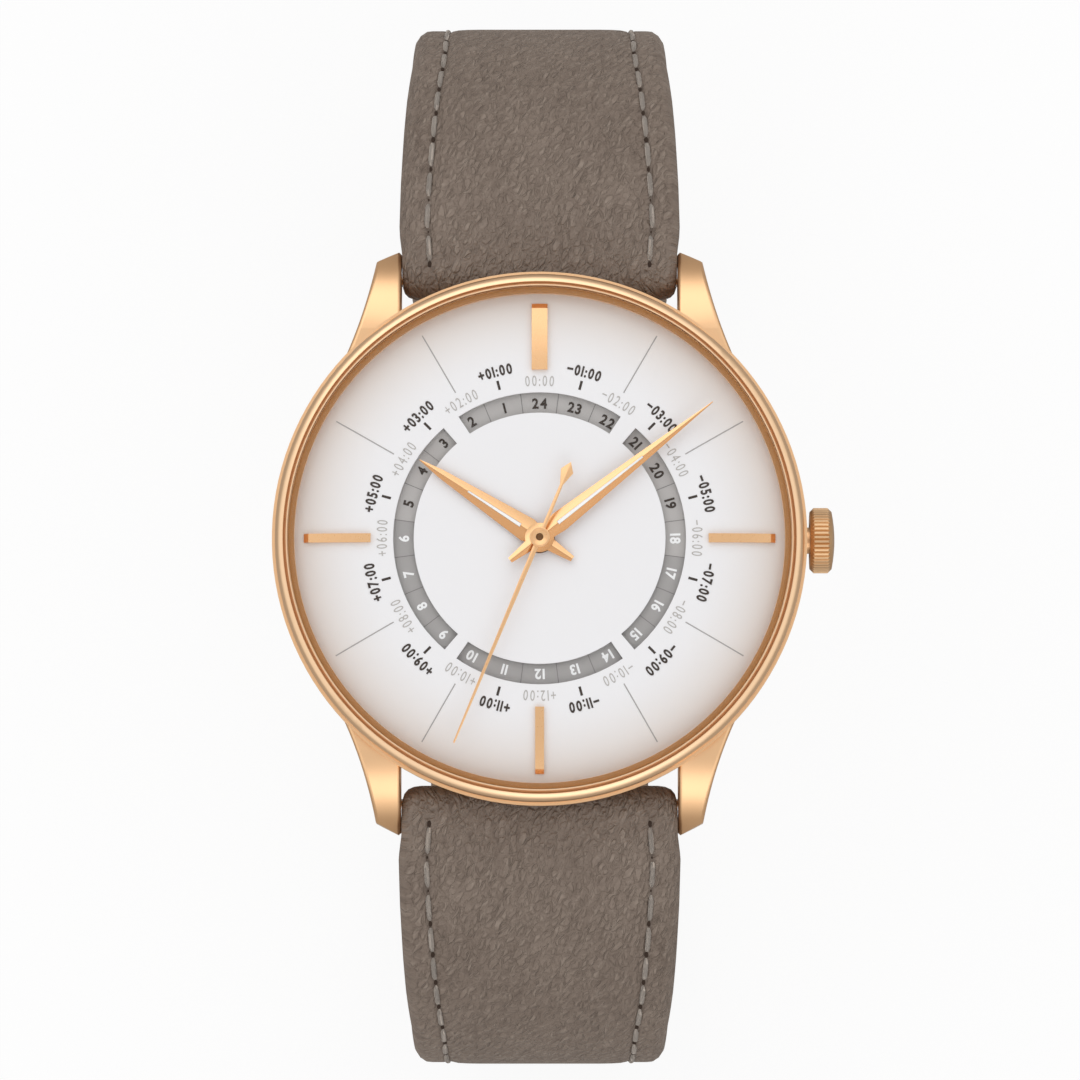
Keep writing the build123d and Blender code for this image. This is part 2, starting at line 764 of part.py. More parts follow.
with BuildPart() as winding_pinion:
    module = 2 * pinion_r / (pinion_teeth + 2 * tip_share)
    extrude(gear_face(stem_axis.offset(pinion_x), pinion_teeth, module, 0.0), amount=pinion_len)
    rod(pinion_x, pinion_x + pinion_len, stem_r + run_gap, Mode.SUBTRACT)
save("winding_pinion", winding_pinion)

with BuildPart() as sliding_clutch:
    rod(clutch_x, clutch_x + clutch_len, clutch_r)
    groove_x = clutch_x + clutch_len / 2 - clutch_groove_w / 2
    with BuildSketch(stem_axis.offset(groove_x)):
        Circle(clutch_r + overrun)
        Circle(clutch_r - clutch_groove_d, mode=Mode.SUBTRACT)
    extrude(amount=clutch_groove_w, mode=Mode.SUBTRACT)
    rod(clutch_x, clutch_x + clutch_len, stem_r + run_gap, Mode.SUBTRACT)
save("sliding_clutch", sliding_clutch)

# Movement ring, main plate and bridges
with BuildPart() as movement_ring:
    post(centre, back_top_z + ring_back_gap, ledge_z, ring_bore_r - seat_gap)
    post(centre, back_top_z, plate_top_z, plate_r + ring_gap, Mode.SUBTRACT)
    post(centre, plate_top_z, ledge_z, plate_r - ring_lip, Mode.SUBTRACT)
    rod(0, ring_bore_r + overrun, stem_hole_r, Mode.SUBTRACT)
    rod(tube_in_x - seat_gap - run_gap, ring_bore_r + overrun, tube_r + seat_gap, Mode.SUBTRACT)
save("movement_ring", movement_ring)


def keyless_slot(low, high):
    # Room for the winding pinion and the sliding clutch
    start, end = pinion_x - clutch_gap, clutch_x + clutch_len + clutch_gap
    with Locations(((start + end) / 2, 0, low)):
        Box(end - start, 2 * keyless_slot_half, high - low, align=low_centre, mode=Mode.SUBTRACT)


jewel_places = (third_place, escape_place, pallet_place, balance_place)
with BuildPart() as main_plate:
    post(centre, cavity_z, plate_top_z, plate_r)
    post(centre, cavity_z, plate_z, rim_in_r, Mode.SUBTRACT)
    post(barrel_place, plate_z, plate_z + plate_t / 2, pivot_post_r + run_gap, Mode.SUBTRACT)
    post(centre, plate_z, plate_top_z, centre_arbor_r + run_gap, Mode.SUBTRACT)
    for place in jewel_places:
        post(place, plate_z, plate_z + jewel_t, jewel_r, Mode.SUBTRACT)
    keyless_slot(plate_z, plate_top_z)
    rod(0, plate_r + overrun, stem_hole_r, Mode.SUBTRACT)
    for place in (minute_place, relay_place):
        post(place, plate_top_z, driver_z + motion_t, stud_r)
    for angle in dial_foot_angles:
        post(polar(dial_foot_pitch_r, angle), plate_top_z - dial_foot_depth, plate_top_z,
             dial_foot_r + seat_gap, Mode.SUBTRACT)
    for place in bridge_screw_places:
        post(place, cavity_z, plate_z, pillar_r)
        post(place, cavity_z, cavity_z + bridge_shank, bridge_screw_r, Mode.SUBTRACT)
save("main_plate", main_plate)


def bridge(outline, holes, cutters=()):
    # A bridge is its outline inside the plate's edge, with jewel holes and screw seats
    with BuildPart() as piece:
        with BuildSketch(Plane.XY.offset(bridge_z)):
            with BuildLine():
                Polyline(*outline, close=True)
            make_face()
            Circle(plate_r - seat_gap, mode=Mode.INTERSECT)
            for place, radius in cutters:
                with Locations(place):
                    Circle(radius, mode=Mode.SUBTRACT)
        extrude(amount=bridge_t)
        for place in holes:
            post(place, bridge_z, bridge_z + bridge_t, pivot_r + run_gap, Mode.SUBTRACT)
            post(place, bridge_z + bridge_t - jewel_t, bridge_z + bridge_t, jewel_r, Mode.SUBTRACT)
            post(place, bridge_z, bridge_z + bridge_t - jewel_t, jewel_sink_r, Mode.SUBTRACT)
        for place in bridge_screw_places:
            post(place, bridge_z, bridge_z + bridge_t, bridge_screw_r + seat_gap, Mode.SUBTRACT)
            post(place, bridge_z, bridge_z + bridge_head_t, bridge_head_r + seat_gap, Mode.SUBTRACT)
    return piece


def scaled(shares, size):
    return [(x * size, y * size) for x, y in shares]


barrel_bridge = bridge(scaled(barrel_bridge_shares, plate_r), ())
with barrel_bridge:
    post(barrel_place, bridge_z, cavity_z, barrel_arbor_r + run_gap, Mode.SUBTRACT)
    keyless_slot(bridge_z, cavity_z)
    post(crown_wheel_place, ratchet_z, bridge_z, crown_wheel_core_r)
save("barrel_bridge", barrel_bridge)

train_bridge = bridge(scaled(train_bridge_shares, plate_r), (centre, third_place, escape_place))
save("train_bridge", train_bridge)

balance_cock = bridge(scaled(cock_shares, plate_r), ())
with balance_cock:
    post(balance_place, bridge_z, cavity_z, cock_head_r)
    post(balance_place, bridge_z, cavity_z - jewel_t, jewel_sink_r, Mode.SUBTRACT)
    post(balance_place, cavity_z - jewel_t, cavity_z, jewel_r, Mode.SUBTRACT)
save("balance_cock", balance_cock)

lever_plane = Plane((*pallet_place, pallet_bridge_z), x_dir=(*polar(1, lever_angle), 0), z_dir=(0, 0, 1))
with BuildPart() as pallet_bridge:
    with BuildSketch(lever_plane):
        SlotOverall(2 * pallet_bridge_half, pallet_bridge_w, rotation=90)
        Circle(pivot_r + run_gap, mode=Mode.SUBTRACT)
    extrude(amount=pallet_bridge_t)
    with BuildSketch(lever_plane.offset(pallet_bridge_t)):
        post_at = pallet_bridge_half - pallet_bridge_w / 2
        with Locations((0, post_at), (0, -post_at)):
            Circle(pallet_post_r)
    extrude(amount=plate_z - pallet_bridge_z - pallet_bridge_t)
save("pallet_bridge", pallet_bridge)

with BuildPart() as jewels:
    bridge_jewels = (centre, third_place, escape_place, balance_place)
    seats = [(place, cavity_z - jewel_t) for place in bridge_jewels]
    seats += [(place, plate_z) for place in jewel_places]
    for place, low in seats:
        post(place, low, low + jewel_t, jewel_r - seat_gap / 2)
        post(place, low, low + jewel_t, pivot_r + run_gap, Mode.SUBTRACT)
save("jewels", jewels)

movement_screws = screws(
    bridge_screw_places, bridge_z, bridge_head_r, bridge_head_t - seat_gap,
    bridge_screw_r - seat_gap, bridge_t - bridge_head_t + bridge_shank, back_slot_w, back_slot_t,
)
save("movement_screws", movement_screws)

# Winding wheels on the back of the barrel bridge
with BuildPart() as crown_wheel:
    face = gear_face(at(crown_wheel_place, ratchet_z), crown_wheel_teeth, ratchet_module)
    extrude(face, amount=ratchet_t)
    post(crown_wheel_place, ratchet_z, bridge_z, crown_wheel_core_r + run_gap, Mode.SUBTRACT)
save("crown_wheel", crown_wheel)

ratchet_phase = mesh_phase(crown_wheel_angle + 180, crown_wheel_teeth, 0.0, ratchet_teeth)
ratchet_tip_r = pitch_radius(ratchet_teeth, ratchet_module) + tip_share * ratchet_module
with BuildPart() as ratchet_wheel:
    face = gear_face(at(barrel_place, ratchet_z), ratchet_teeth, ratchet_module, ratchet_phase)
    extrude(face, amount=ratchet_t)
    post(barrel_place, ratchet_z, bridge_z, barrel_arbor_r, Mode.SUBTRACT)
save("ratchet_wheel", ratchet_wheel)

with BuildPart() as barrel_arbor:
    post(barrel_place, ratchet_z, drum_z + drum_floor_t, barrel_arbor_r)
    post(barrel_place, drum_z + drum_floor_t + run_gap, drum_top_z, barrel_hub_r)
    post(barrel_place, drum_z + drum_floor_t, drum_z + drum_floor_t + run_gap, barrel_arbor_r)
    post(barrel_place, drum_top_z, plate_z + plate_t / 2 - seat_gap, pivot_post_r)
save("barrel_arbor", barrel_arbor)

click_place = beside(barrel_place, ratchet_tip_r + click_out, click_angle)
click_tip = beside(barrel_place, ratchet_tip_r + click_gap, click_angle - click_lead)
with BuildPart() as click:
    reach = hypot(click_tip[0] - click_place[0], click_tip[1] - click_place[1])
    heading = degrees(atan2(click_tip[1] - click_place[1], click_tip[0] - click_place[0]))
    click_plane = Plane((*click_place, ratchet_z), x_dir=(*polar(1, heading), 0), z_dir=(0, 0, 1))
    with BuildSketch(click_plane):
        Circle(click_r)
        with BuildLine():
            Polyline((0, -click_r), (reach, 0), (reach, click_tip_w), (0, click_r), close=True)
        make_face()
    extrude(amount=ratchet_t - seat_gap)
save("click", click)


def spiral_face(plane, start_r, pitch, turns, width):
    # A flat spiral of half-turn arcs about two centres a quarter pitch apart on each side
    with BuildSketch(plane) as face:
        with BuildLine():
            for half_turn in range(2 * turns):
                side = -1 if half_turn % 2 else 1
                radius = start_r + pitch / 4 + half_turn * pitch / 2
                CenterArc((side * pitch / 4, 0), radius, 180 if half_turn % 2 else 0, 180)
        trace(line_width=width)
    return face.sketch


# Barrel and mainspring
barrel_phase = barrel_angle + 180
with BuildPart() as barrel:
    drum_r = pitch_radius(barrel_teeth, barrel_module) - rim_share * barrel_module
    post(barrel_place, drum_z, drum_top_z, drum_r)
    flange_z = drum_top_z - drum_teeth_t
    face = gear_face(at(barrel_place, flange_z), barrel_teeth, barrel_module, barrel_phase)
    extrude(face, amount=drum_teeth_t)
    post(barrel_place, drum_z + drum_floor_t, drum_top_z, drum_r - drum_wall, Mode.SUBTRACT)
    post(barrel_place, drum_z, drum_top_z, barrel_arbor_r + run_gap, Mode.SUBTRACT)
save("barrel", barrel)

with BuildPart() as mainspring:
    spring_z = drum_z + drum_floor_t + seat_gap
    face = spiral_face(
        at(barrel_place, spring_z), mainspring_in_r, mainspring_pitch, mainspring_turns, mainspring_w
    )
    extrude(face, amount=drum_top_z - spring_z - seat_gap)
save("mainspring", mainspring)

# Going train
low_end, high_end = cavity_z + run_gap, plate_z - run_gap


def arbor(place):
    post(place, low_end, high_end, arbor_r)
    post(place, low_end - pivot_len, high_end + pivot_len, pivot_r)


centre_pinion_phase = mesh_phase(barrel_angle + 180, barrel_teeth, barrel_phase, centre_pinion_teeth)
with BuildPart() as centre_wheel:
    face = gear_face(at(centre, centre_wheel_z), centre_teeth, centre_module, third_angle, spokes=5)
    extrude(face, amount=wheel_t)
    pinion_z = drum_top_z - drum_teeth_t
    face = gear_face(at(centre, pinion_z), centre_pinion_teeth, barrel_module, centre_pinion_phase)
    extrude(face, amount=centre_wheel_z - pinion_z)
    post(centre, pinion_z, dial_top_z, centre_arbor_r)
    post(centre, pinion_z, dial_top_z, seconds_arbor_r + run_gap, Mode.SUBTRACT)
save("centre_wheel", centre_wheel)

third_pinion_phase = mesh_phase(third_angle, centre_teeth, third_angle, third_pinion_teeth)
with BuildPart() as third_wheel:
    face = gear_face(at(third_place, third_z), third_teeth, third_module, third_angle + 180, spokes=5)
    extrude(face, amount=wheel_t)
    face = gear_face(
        at(third_place, drum_top_z), third_pinion_teeth, centre_module, third_pinion_phase
    )
    extrude(face, amount=high_end - drum_top_z)
    arbor(third_place)
save("third_wheel", third_wheel)

fourth_pinion_phase = mesh_phase(third_angle + 180, third_teeth, third_angle + 180, fourth_pinion_teeth)
with BuildPart() as fourth_wheel:
    face = gear_face(at(centre, fourth_z), fourth_teeth, fourth_module, escape_angle, spokes=5)
    extrude(face, amount=wheel_t)
    pinion_at = at(centre, drum_z - seat_gap)
    face = gear_face(pinion_at, fourth_pinion_teeth, third_module, fourth_pinion_phase)
    extrude(face, amount=2 * wheel_t)
    post(centre, low_end, second_hand_z + second_hand_t, seconds_arbor_r)
    post(centre, low_end - pivot_len, low_end, pivot_r)
save("fourth_wheel", fourth_wheel)

escape_pinion_phase = mesh_phase(escape_angle, fourth_teeth, escape_angle, escape_pinion_teeth)
with BuildPart() as escape_wheel:
    step = 360 / escape_tooth_count
    outline = []
    for tooth in range(escape_tooth_count):
        base = lever_angle + (tooth + escape_land_share) * step
        outline += [
            polar(escape_root_r, base),
            polar(escape_r, base + escape_rake_share * step),
            polar(escape_r, base + escape_land_share * step),
            polar(escape_root_r, base + escape_land_share * step),
        ]
    with BuildSketch(at(escape_place, lever_z)):
        with BuildLine():
            Polyline(*outline, close=True)
        make_face()
        Circle(escape_rim_r, mode=Mode.SUBTRACT)
        Circle(escape_hub_r)
        with PolarLocations(escape_rim_r / 2, 4):
            Rectangle(escape_rim_r, spoke_w)
    extrude(amount=wheel_t)
    face = gear_face(
        at(escape_place, low_end), escape_pinion_teeth, fourth_module, escape_pinion_phase
    )
    extrude(face, amount=2 * wheel_t)
    arbor(escape_place)
save("escape_wheel", escape_wheel)

with BuildPart() as pallet_fork:
    with BuildSketch(lever_plane.offset(lever_z - pallet_bridge_z)):
        Rectangle(fork_len, pallet_w, align=(Align.MIN, Align.CENTER))
        with Locations((fork_len - fork_slot_len, 0)):
            Rectangle(2 * fork_slot_len, fork_w)
        with Locations((fork_len, 0)):
            Rectangle(2 * fork_slot_len, fork_slot_w, mode=Mode.SUBTRACT)
        Circle(fork_w / 2 + pivot_r)
        for side in (1, -1):
            with BuildLine():
                Polyline(
                    (0, side * pallet_w / 2), (pallet_w, 0), (-pallet_back, side * pallet_span),
                    (-pallet_back - pallet_w, side * pallet_span - side * pallet_w), close=True,
                )
            make_face()
    extrude(amount=wheel_t)
    post(pallet_place, pallet_bridge_z + pallet_bridge_t + run_gap, high_end, arbor_r)
    post(pallet_place, pallet_bridge_z, high_end + pivot_len, pivot_r)
save("pallet_fork", pallet_fork)

with BuildPart() as balance_wheel:
    with BuildSketch(at(balance_place, balance_z)):
        Circle(balance_r)
        Circle(balance_r - balance_rim_w, mode=Mode.SUBTRACT)
        Rectangle(2 * balance_r - balance_rim_w, balance_arm_w)
        Rectangle(balance_arm_w, 2 * balance_r - balance_rim_w)
    extrude(amount=balance_t)
    post(balance_place, lever_z - seat_gap, lever_z + wheel_t, roller_r)
    arbor(balance_place)
save("balance_wheel", balance_wheel)

with BuildPart() as hairspring:
    face = spiral_face(
        at(balance_place, cavity_z + hairspring_gap),
        hairspring_in_r, hairspring_pitch, hairspring_turns, hairspring_w,
    )
    extrude(face, amount=hairspring_t)
save("hairspring", hairspring)


def ring_sector(plane, in_r, out_r, start, end):
    with BuildSketch(plane) as face:
        with BuildLine():
            outer = CenterArc((0, 0), out_r, start, end - start)
            inner = CenterArc((0, 0), in_r, start, end - start)
            Line(outer @ 0, inner @ 0)
            Line(outer @ 1, inner @ 1)
        make_face()
    return face.sketch


# Self-winding rotor: a half disc with a heavy rim, on a bearing in the train bridge
rotor_end = rotor_start + rotor_sweep
with BuildPart() as rotor:
    base = at(centre, rotor_z)
    extrude(ring_sector(base, rotor_hub_r / 2, rotor_r, rotor_start, rotor_end), amount=rotor_plate_t)
    rim = ring_sector(base, rotor_r - rotor_rim_w, rotor_r, rotor_start, rotor_end)
    extrude(rim, amount=rotor_rim_t)
    for first, last in zip(rotor_window_edges[::2], rotor_window_edges[1::2]):
        window = ring_sector(
            base, rotor_window_in_r, rotor_window_out_r, rotor_start + first, rotor_start + last
        )
        extrude(window, amount=rotor_plate_t, mode=Mode.SUBTRACT)
    post(centre, rotor_z, rotor_z + rotor_hub_t, rotor_hub_r)
    post(centre, rotor_z, rotor_z + rotor_hub_t, bearing_r + run_gap, Mode.SUBTRACT)
save("rotor", rotor)

with BuildPart() as rotor_bearing:
    post(centre, rotor_z - bearing_play - bearing_flange_t, rotor_z - bearing_play, bearing_flange_r)
    post(centre, rotor_z - bearing_play, bridge_z, bearing_r)
    shoulder_z = rotor_z + rotor_hub_t + bearing_play
    post(centre, shoulder_z, shoulder_z + bearing_flange_t, bearing_flange_r)
save("rotor_bearing", rotor_bearing)

# Motion works under the dial
cannon_phase = minute_angle
minute_phase = mesh_phase(minute_angle, cannon_teeth, cannon_phase, minute_teeth)
hour_phase = mesh_phase(minute_angle + 180, minute_pinion_teeth, 0.0, hour_teeth)
relay_phase = mesh_phase(relay_angle, driver_teeth, relay_angle, relay_teeth)
disc_phase = mesh_phase(relay_angle + 180, relay_pinion_teeth, 0.0, disc_gear_teeth)

with BuildPart() as cannon_pinion:
    face = gear_face(at(centre, minute_wheel_z), cannon_teeth, minute_module, cannon_phase)
    extrude(face, amount=motion_t)
    post(centre, plate_top_z + run_gap, minute_hand_z + hand_t, cannon_r)
    post(centre, plate_top_z, minute_hand_z + hand_t, cannon_bore_r, Mode.SUBTRACT)
save("cannon_pinion", cannon_pinion)

with BuildPart() as minute_wheel:
    face = gear_face(at(minute_place, minute_wheel_z), minute_teeth, minute_module, minute_phase)
    extrude(face, amount=motion_t)
    face = gear_face(at(minute_place, hour_wheel_z), minute_pinion_teeth, hour_module)
    extrude(face, amount=motion_t)
    post(minute_place, minute_wheel_z, hour_wheel_z, 2 * stud_r)
    post(minute_place, minute_wheel_z, hour_wheel_z + motion_t, stud_r + run_gap, Mode.SUBTRACT)
save("minute_wheel", minute_wheel)

with BuildPart() as hour_wheel:
    face = gear_face(at(centre, hour_wheel_z), hour_teeth, hour_module, hour_phase)
    extrude(face, amount=motion_t)
    face = gear_face(at(centre, driver_z), driver_teeth, driver_module, relay_angle)
    extrude(face, amount=motion_t)
    post(centre, hour_wheel_z, hour_hand_z + hand_t, hour_pipe_r)
    post(centre, hour_wheel_z, hour_hand_z + hand_t, hour_bore_r, Mode.SUBTRACT)
save("hour_wheel", hour_wheel)

with BuildPart() as disc_drive_wheel:
    face = gear_face(at(relay_place, driver_z), relay_teeth, driver_module, relay_phase)
    extrude(face, amount=motion_t)
    face = gear_face(at(relay_place, disc_gear_z), relay_pinion_teeth, disc_module)
    extrude(face, amount=motion_t - seat_gap)
    post(relay_place, driver_z, disc_gear_z, 2 * stud_r)
    post(relay_place, driver_z, disc_z, stud_r + run_gap, Mode.SUBTRACT)
save("disc_drive_wheel", disc_drive_wheel)

with BuildPart() as hour_disc_24:
    face = gear_face(at(centre, disc_gear_z), disc_gear_teeth, disc_module, disc_phase)
    extrude(face, amount=motion_t)
    post(centre, disc_z, disc_z + disc_t, disc_r)
    post(centre, disc_gear_z, disc_z + disc_t, disc_bore_r, Mode.SUBTRACT)
save("hour_disc_24", hour_disc_24)


# Dial: flat in the middle, falling away to its edge, with four windows over the disc
def dial_fall(radius):
    span = dial_r - dial_flat_r
    ball = (span**2 + dial_drop**2) / (2 * dial_drop)
    return sqrt(ball**2 - (radius - dial_flat_r) ** 2) - ball


def dial_arc(low, first, last):
    middle = (first + last) / 2
    return [(r, low + dial_fall(r)) for r in (first, middle, last)]


with BuildPart() as dial:
    with BuildSketch(Plane.XZ):
        with BuildLine():
            under = Line((0, dial_z), (dial_flat_r, dial_z))
            ThreePointArc(*dial_arc(dial_z, dial_flat_r, dial_r))
            edge = Line((dial_r, dial_z - dial_drop), (dial_r, dial_top_z - dial_drop))
            ThreePointArc(*dial_arc(dial_top_z, dial_flat_r, dial_r))
            Polyline((dial_flat_r, dial_top_z), (0, dial_top_z), under @ 0)
        make_face()
    revolve(axis=Axis.Z)
    for start, end in window_edges:
        window = ring_sector(at(centre, dial_z), window_in_r, window_out_r, start, end)
        extrude(window, amount=dial_t, mode=Mode.SUBTRACT)
    post(centre, dial_z, dial_top_z, dial_hole_r, Mode.SUBTRACT)
    for angle in dial_foot_angles:
        foot_z = plate_top_z - dial_foot_depth + seat_gap
        post(polar(dial_foot_pitch_r, angle), foot_z, dial_z, dial_foot_r)
save("dial", dial)

with BuildPart() as hour_markers:
    base_z = dial_top_z + marker_gap
    with BuildSketch(Plane.XZ):
        with BuildLine():
            bottom = ThreePointArc(*dial_arc(base_z, marker_in_r, marker_out_r))
            crest = ThreePointArc(*dial_arc(base_z + marker_h, marker_in_r, marker_out_r - marker_facet))
            Line(bottom @ 0, crest @ 0)
            Polyline(
                crest @ 1,
                (marker_out_r, base_z + dial_fall(marker_out_r) + marker_h - marker_facet_drop),
                bottom @ 1,
            )
        make_face()
    revolve(axis=Axis.Z)
    with BuildSketch(at(centre, dial_z)):
        for angle, width in ((0, marker_w), (90, marker_12_w), (180, marker_w), (270, marker_w)):
            with Locations(Location((0, 0, 0), (0, 0, angle))):
                Rectangle(2 * dial_r, width, align=(Align.MIN, Align.CENTER))
    extrude(amount=case_top_z, mode=Mode.INTERSECT)
save("hour_markers", hour_markers)


def hand_plane(level, angle):
    return Plane((0, 0, level), x_dir=(*polar(1, angle), 0), z_dir=(0, 0, 1))


def slot_points(slot, gap):
    (start, start_half), (end, end_half) = slot
    return [
        (start + gap, start_half - gap), (end - gap, end_half - gap),
        (end - gap, gap - end_half), (start + gap, gap - start_half),
    ]


def hand(level, angle, shape, slot, bore):
    # A tapering hand with a rounded top and a slot for its luminous inlay
    plane = hand_plane(level, angle)
    with BuildPart() as piece:
        with BuildSketch(plane):
            with BuildLine():
                Polyline(*shape, *[(x, -half) for x, half in reversed(shape)], close=True)
            make_face()
            Circle(hand_hub_r)
            with BuildLine():
                Polyline(*slot_points(slot, 0), close=True)
            make_face(mode=Mode.SUBTRACT)
            Circle(bore, mode=Mode.SUBTRACT)
        extrude(amount=hand_t)
        axis_z = level + hand_t - hand_crown_r
        with Locations(Plane((0, 0, axis_z), x_dir=(0, 0, 1), z_dir=(*polar(1, angle), 0))):
            Cylinder(hand_crown_r, 2 * case_r, mode=Mode.INTERSECT)
    return piece


def inlay(level, angle, slot):
    with BuildPart() as piece:
        with BuildSketch(hand_plane(level, angle)):
            with BuildLine():
                Polyline(*slot_points(slot, inlay_gap), close=True)
            make_face()
        extrude(amount=inlay_t)
    return piece


save("hour_hand", hand(hour_hand_z, hour_angle, hour_shape, hour_slot, hour_pipe_r))
save("minute_hand", hand(minute_hand_z, minute_hand_angle, minute_shape, minute_slot, cannon_r))
save("hour_hand_inlay", inlay(hour_hand_z, hour_angle, hour_slot))
save("minute_hand_inlay", inlay(minute_hand_z, minute_hand_angle, minute_slot))

with BuildPart() as second_hand:
    with BuildSketch(hand_plane(second_hand_z, second_angle)):
        with BuildLine():
            Polyline(
                (0, second_half_w), (second_tip, second_tip_half_w),
                (second_tip, -second_tip_half_w), (0, -second_half_w),
                (-second_kite_in, -second_half_w), (-second_kite_mid, -second_kite_half_w),
                (-second_tail, 0), (-second_kite_mid, second_kite_half_w),
                (-second_kite_in, second_half_w), close=True,
            )
        make_face()
        Circle(second_hub_r)
    extrude(amount=second_hand_t)
    low, high = second_hand_z - second_hand_t, second_hand_z + second_hand_t
    post(centre, low, second_hand_z, second_pipe)
    post(centre, low, high, seconds_arbor_r, Mode.SUBTRACT)
save("second_hand", second_hand)


# Spring bars in the lugs
def spring_bar(y):
    axis = Plane((0, y, bar_z), z_dir=(1, 0, 0))
    with BuildPart() as piece:
        with Locations(axis):
            Cylinder(bar_r, lug_gap - 2 * run_gap)
            Cylinder(bar_tip_r, lug_gap + 2 * bar_tip_len)
            for end in (1, -1):
                with Locations((0, 0, end * (lug_gap / 2 - bar_groove_in))):
                    Cylinder(bar_r + run_gap, bar_groove_w, mode=Mode.SUBTRACT)
                    Cylinder(bar_groove_r, bar_groove_w)
    return piece


save("spring_bar_12", spring_bar(bar_y))
save("spring_bar_6", spring_bar(-bar_y))


# Strap: the centre line of each half is a row of runs that bend by a given turn
def walk(runs, distance):
    # Outward distance, height and heading at a distance along the centre line
    y, z, left = bar_y, bar_z, distance
    for length, start, end in runs:
        part = min(left, length)
        heading = start + (end - start) * part / length
        if start == end:
            y += part * cos(radians(start))
            z -= part * sin(radians(start))
        else:
            bend = length / radians(end - start)
            y += bend * (sin(radians(heading)) - sin(radians(start)))
            z -= bend * (cos(radians(start)) - cos(radians(heading)))
        left -= part
        if left <= 0:
            break
    return y, z, heading


def run_length(runs):
    return sum(length for length, start, end in runs)


long_start = long_runs[-1][2]
long_turn_len = long_turn_r * radians(180 - long_start)
long_path = long_runs + ((long_turn_len, long_start, 180.0), (long_flat_len, 180.0, 180.0))
long_len = run_length(long_path)
tail_y, tail_z = walk(long_path, long_len)[:2]
ground_z = tail_z - strap_end_t / 2
short_end = short_runs[-1][2]
knee_z = walk(short_runs, run_length(short_runs))[1]
buckle_z = ground_z + buckle_bar_h
short_straight = (knee_z - buckle_z) / sin(radians(short_end))
short_path = short_runs + ((short_straight, short_end, short_end),)
short_len = run_length(short_path)
buckle_y = walk(short_path, short_len)[0]


def strap_plane(runs, side, distance):
    y, z, heading = walk(runs, distance)
    ahead = (0, side * cos(radians(heading)), -sin(radians(heading)))
    return Plane((0, side * y, z), x_dir=(side, 0, 0), z_dir=ahead)


def blend(first, last, share):
    return first + (last - first) * min(max(share, 0), 1)


def strap_section(distance, thin_at):
    # Half width, half thickness, side height and slope of the padded top
    share = (distance - strap_pad_at) / (thin_at - strap_pad_at)
    width = blend(strap_lug_w, strap_end_w, distance / thin_at)
    if distance < strap_pad_at:
        thick = blend(strap_hinge_t, strap_pad_t, distance / strap_pad_at)
    else:
        thick = blend(strap_pad_t, strap_end_t, share)
    return width / 2, thick / 2, strap_side_t, blend(strap_pad_slope, strap_end_slope, share)


def stations(runs):
    # Distances of the sections: both ends of each run, and steps within a bend
    places, so_far = [0.0], 0.0
    for length, start, end in runs:
        steps = max(1, ceil(abs(end - start) / strap_step))
        places += [so_far + length * (i + 1) / steps for i in range(steps)]
        so_far += length
    return places


def strap_body(runs, side, thin_at):
    for distance in stations(runs):
        half_w, half_t, side_t, slope = strap_section(distance, thin_at)
        with BuildSketch(strap_plane(runs, side, distance)) as section:
            with BuildLine():
                Polyline(
                    (-half_w, half_t), (half_w, half_t), (half_w, half_t - side_t),
                    (half_w - slope, -half_t), (slope - half_w, -half_t), (-half_w, half_t - side_t),
                    close=True,
                )
            make_face()
        yield section.sketch


def cross_bar(place, radius, length, mode=Mode.ADD):
    with Locations(Plane(place, z_dir=(1, 0, 0))):
        Cylinder(radius, length, mode=mode)


short_thin_at = run_length(short_runs)
with BuildPart() as strap_short:
    loft([*strap_body(short_path, 1, short_thin_at)], ruled=True)
    hinge_at = (0, bar_y, bar_z)
    cross_bar(hinge_at, strap_hinge_t / 2, strap_lug_w)
    cross_bar(hinge_at, bar_r + strap_bar_gap, lug_gap, Mode.SUBTRACT)
    buckle_at = (0, buckle_y, buckle_z)
    cross_bar(buckle_at, buckle_loop_t / 2, strap_end_w)
    cross_bar(buckle_at, buckle_bar_r + strap_bar_gap, buckle_w, Mode.SUBTRACT)
    with Locations(strap_plane(short_path, 1, short_len)):
        Box(tongue_w + 2 * tongue_slot_gap, 2 * strap_pad_t, 2 * tongue_slot_len, mode=Mode.SUBTRACT)
save("strap_short", strap_short)

with BuildPart() as strap_long:
    loft([*strap_body(long_path, -1, run_length(long_runs))], ruled=True)
    hinge_at = (0, -bar_y, bar_z)
    cross_bar(hinge_at, strap_hinge_t / 2, strap_lug_w)
    cross_bar(hinge_at, bar_r + strap_bar_gap, lug_gap, Mode.SUBTRACT)
    half_w = strap_end_w / 2
    corner = tail_round_r - sqrt(tail_round_r**2 - half_w**2)
    with BuildSketch(Plane.XY.offset(ground_z - overrun)):
        with Locations((0, -tail_y - corner)):
            Rectangle(strap_lug_w, corner + overrun, align=(Align.CENTER, Align.MIN))
        with Locations((0, -tail_y - tail_round_r)):
            Circle(tail_round_r, mode=Mode.SUBTRACT)
    extrude(amount=strap_end_t + 2 * overrun, mode=Mode.SUBTRACT)
    for i in range(hole_count):
        seat = strap_plane(long_path, -1, hole_first + i * hole_pitch)
        with Locations(Plane(seat.origin, x_dir=seat.x_dir, z_dir=seat.y_dir)):
            Cylinder(hole_r, 2 * strap_pad_t, mode=Mode.SUBTRACT)
save("strap_long", strap_long)

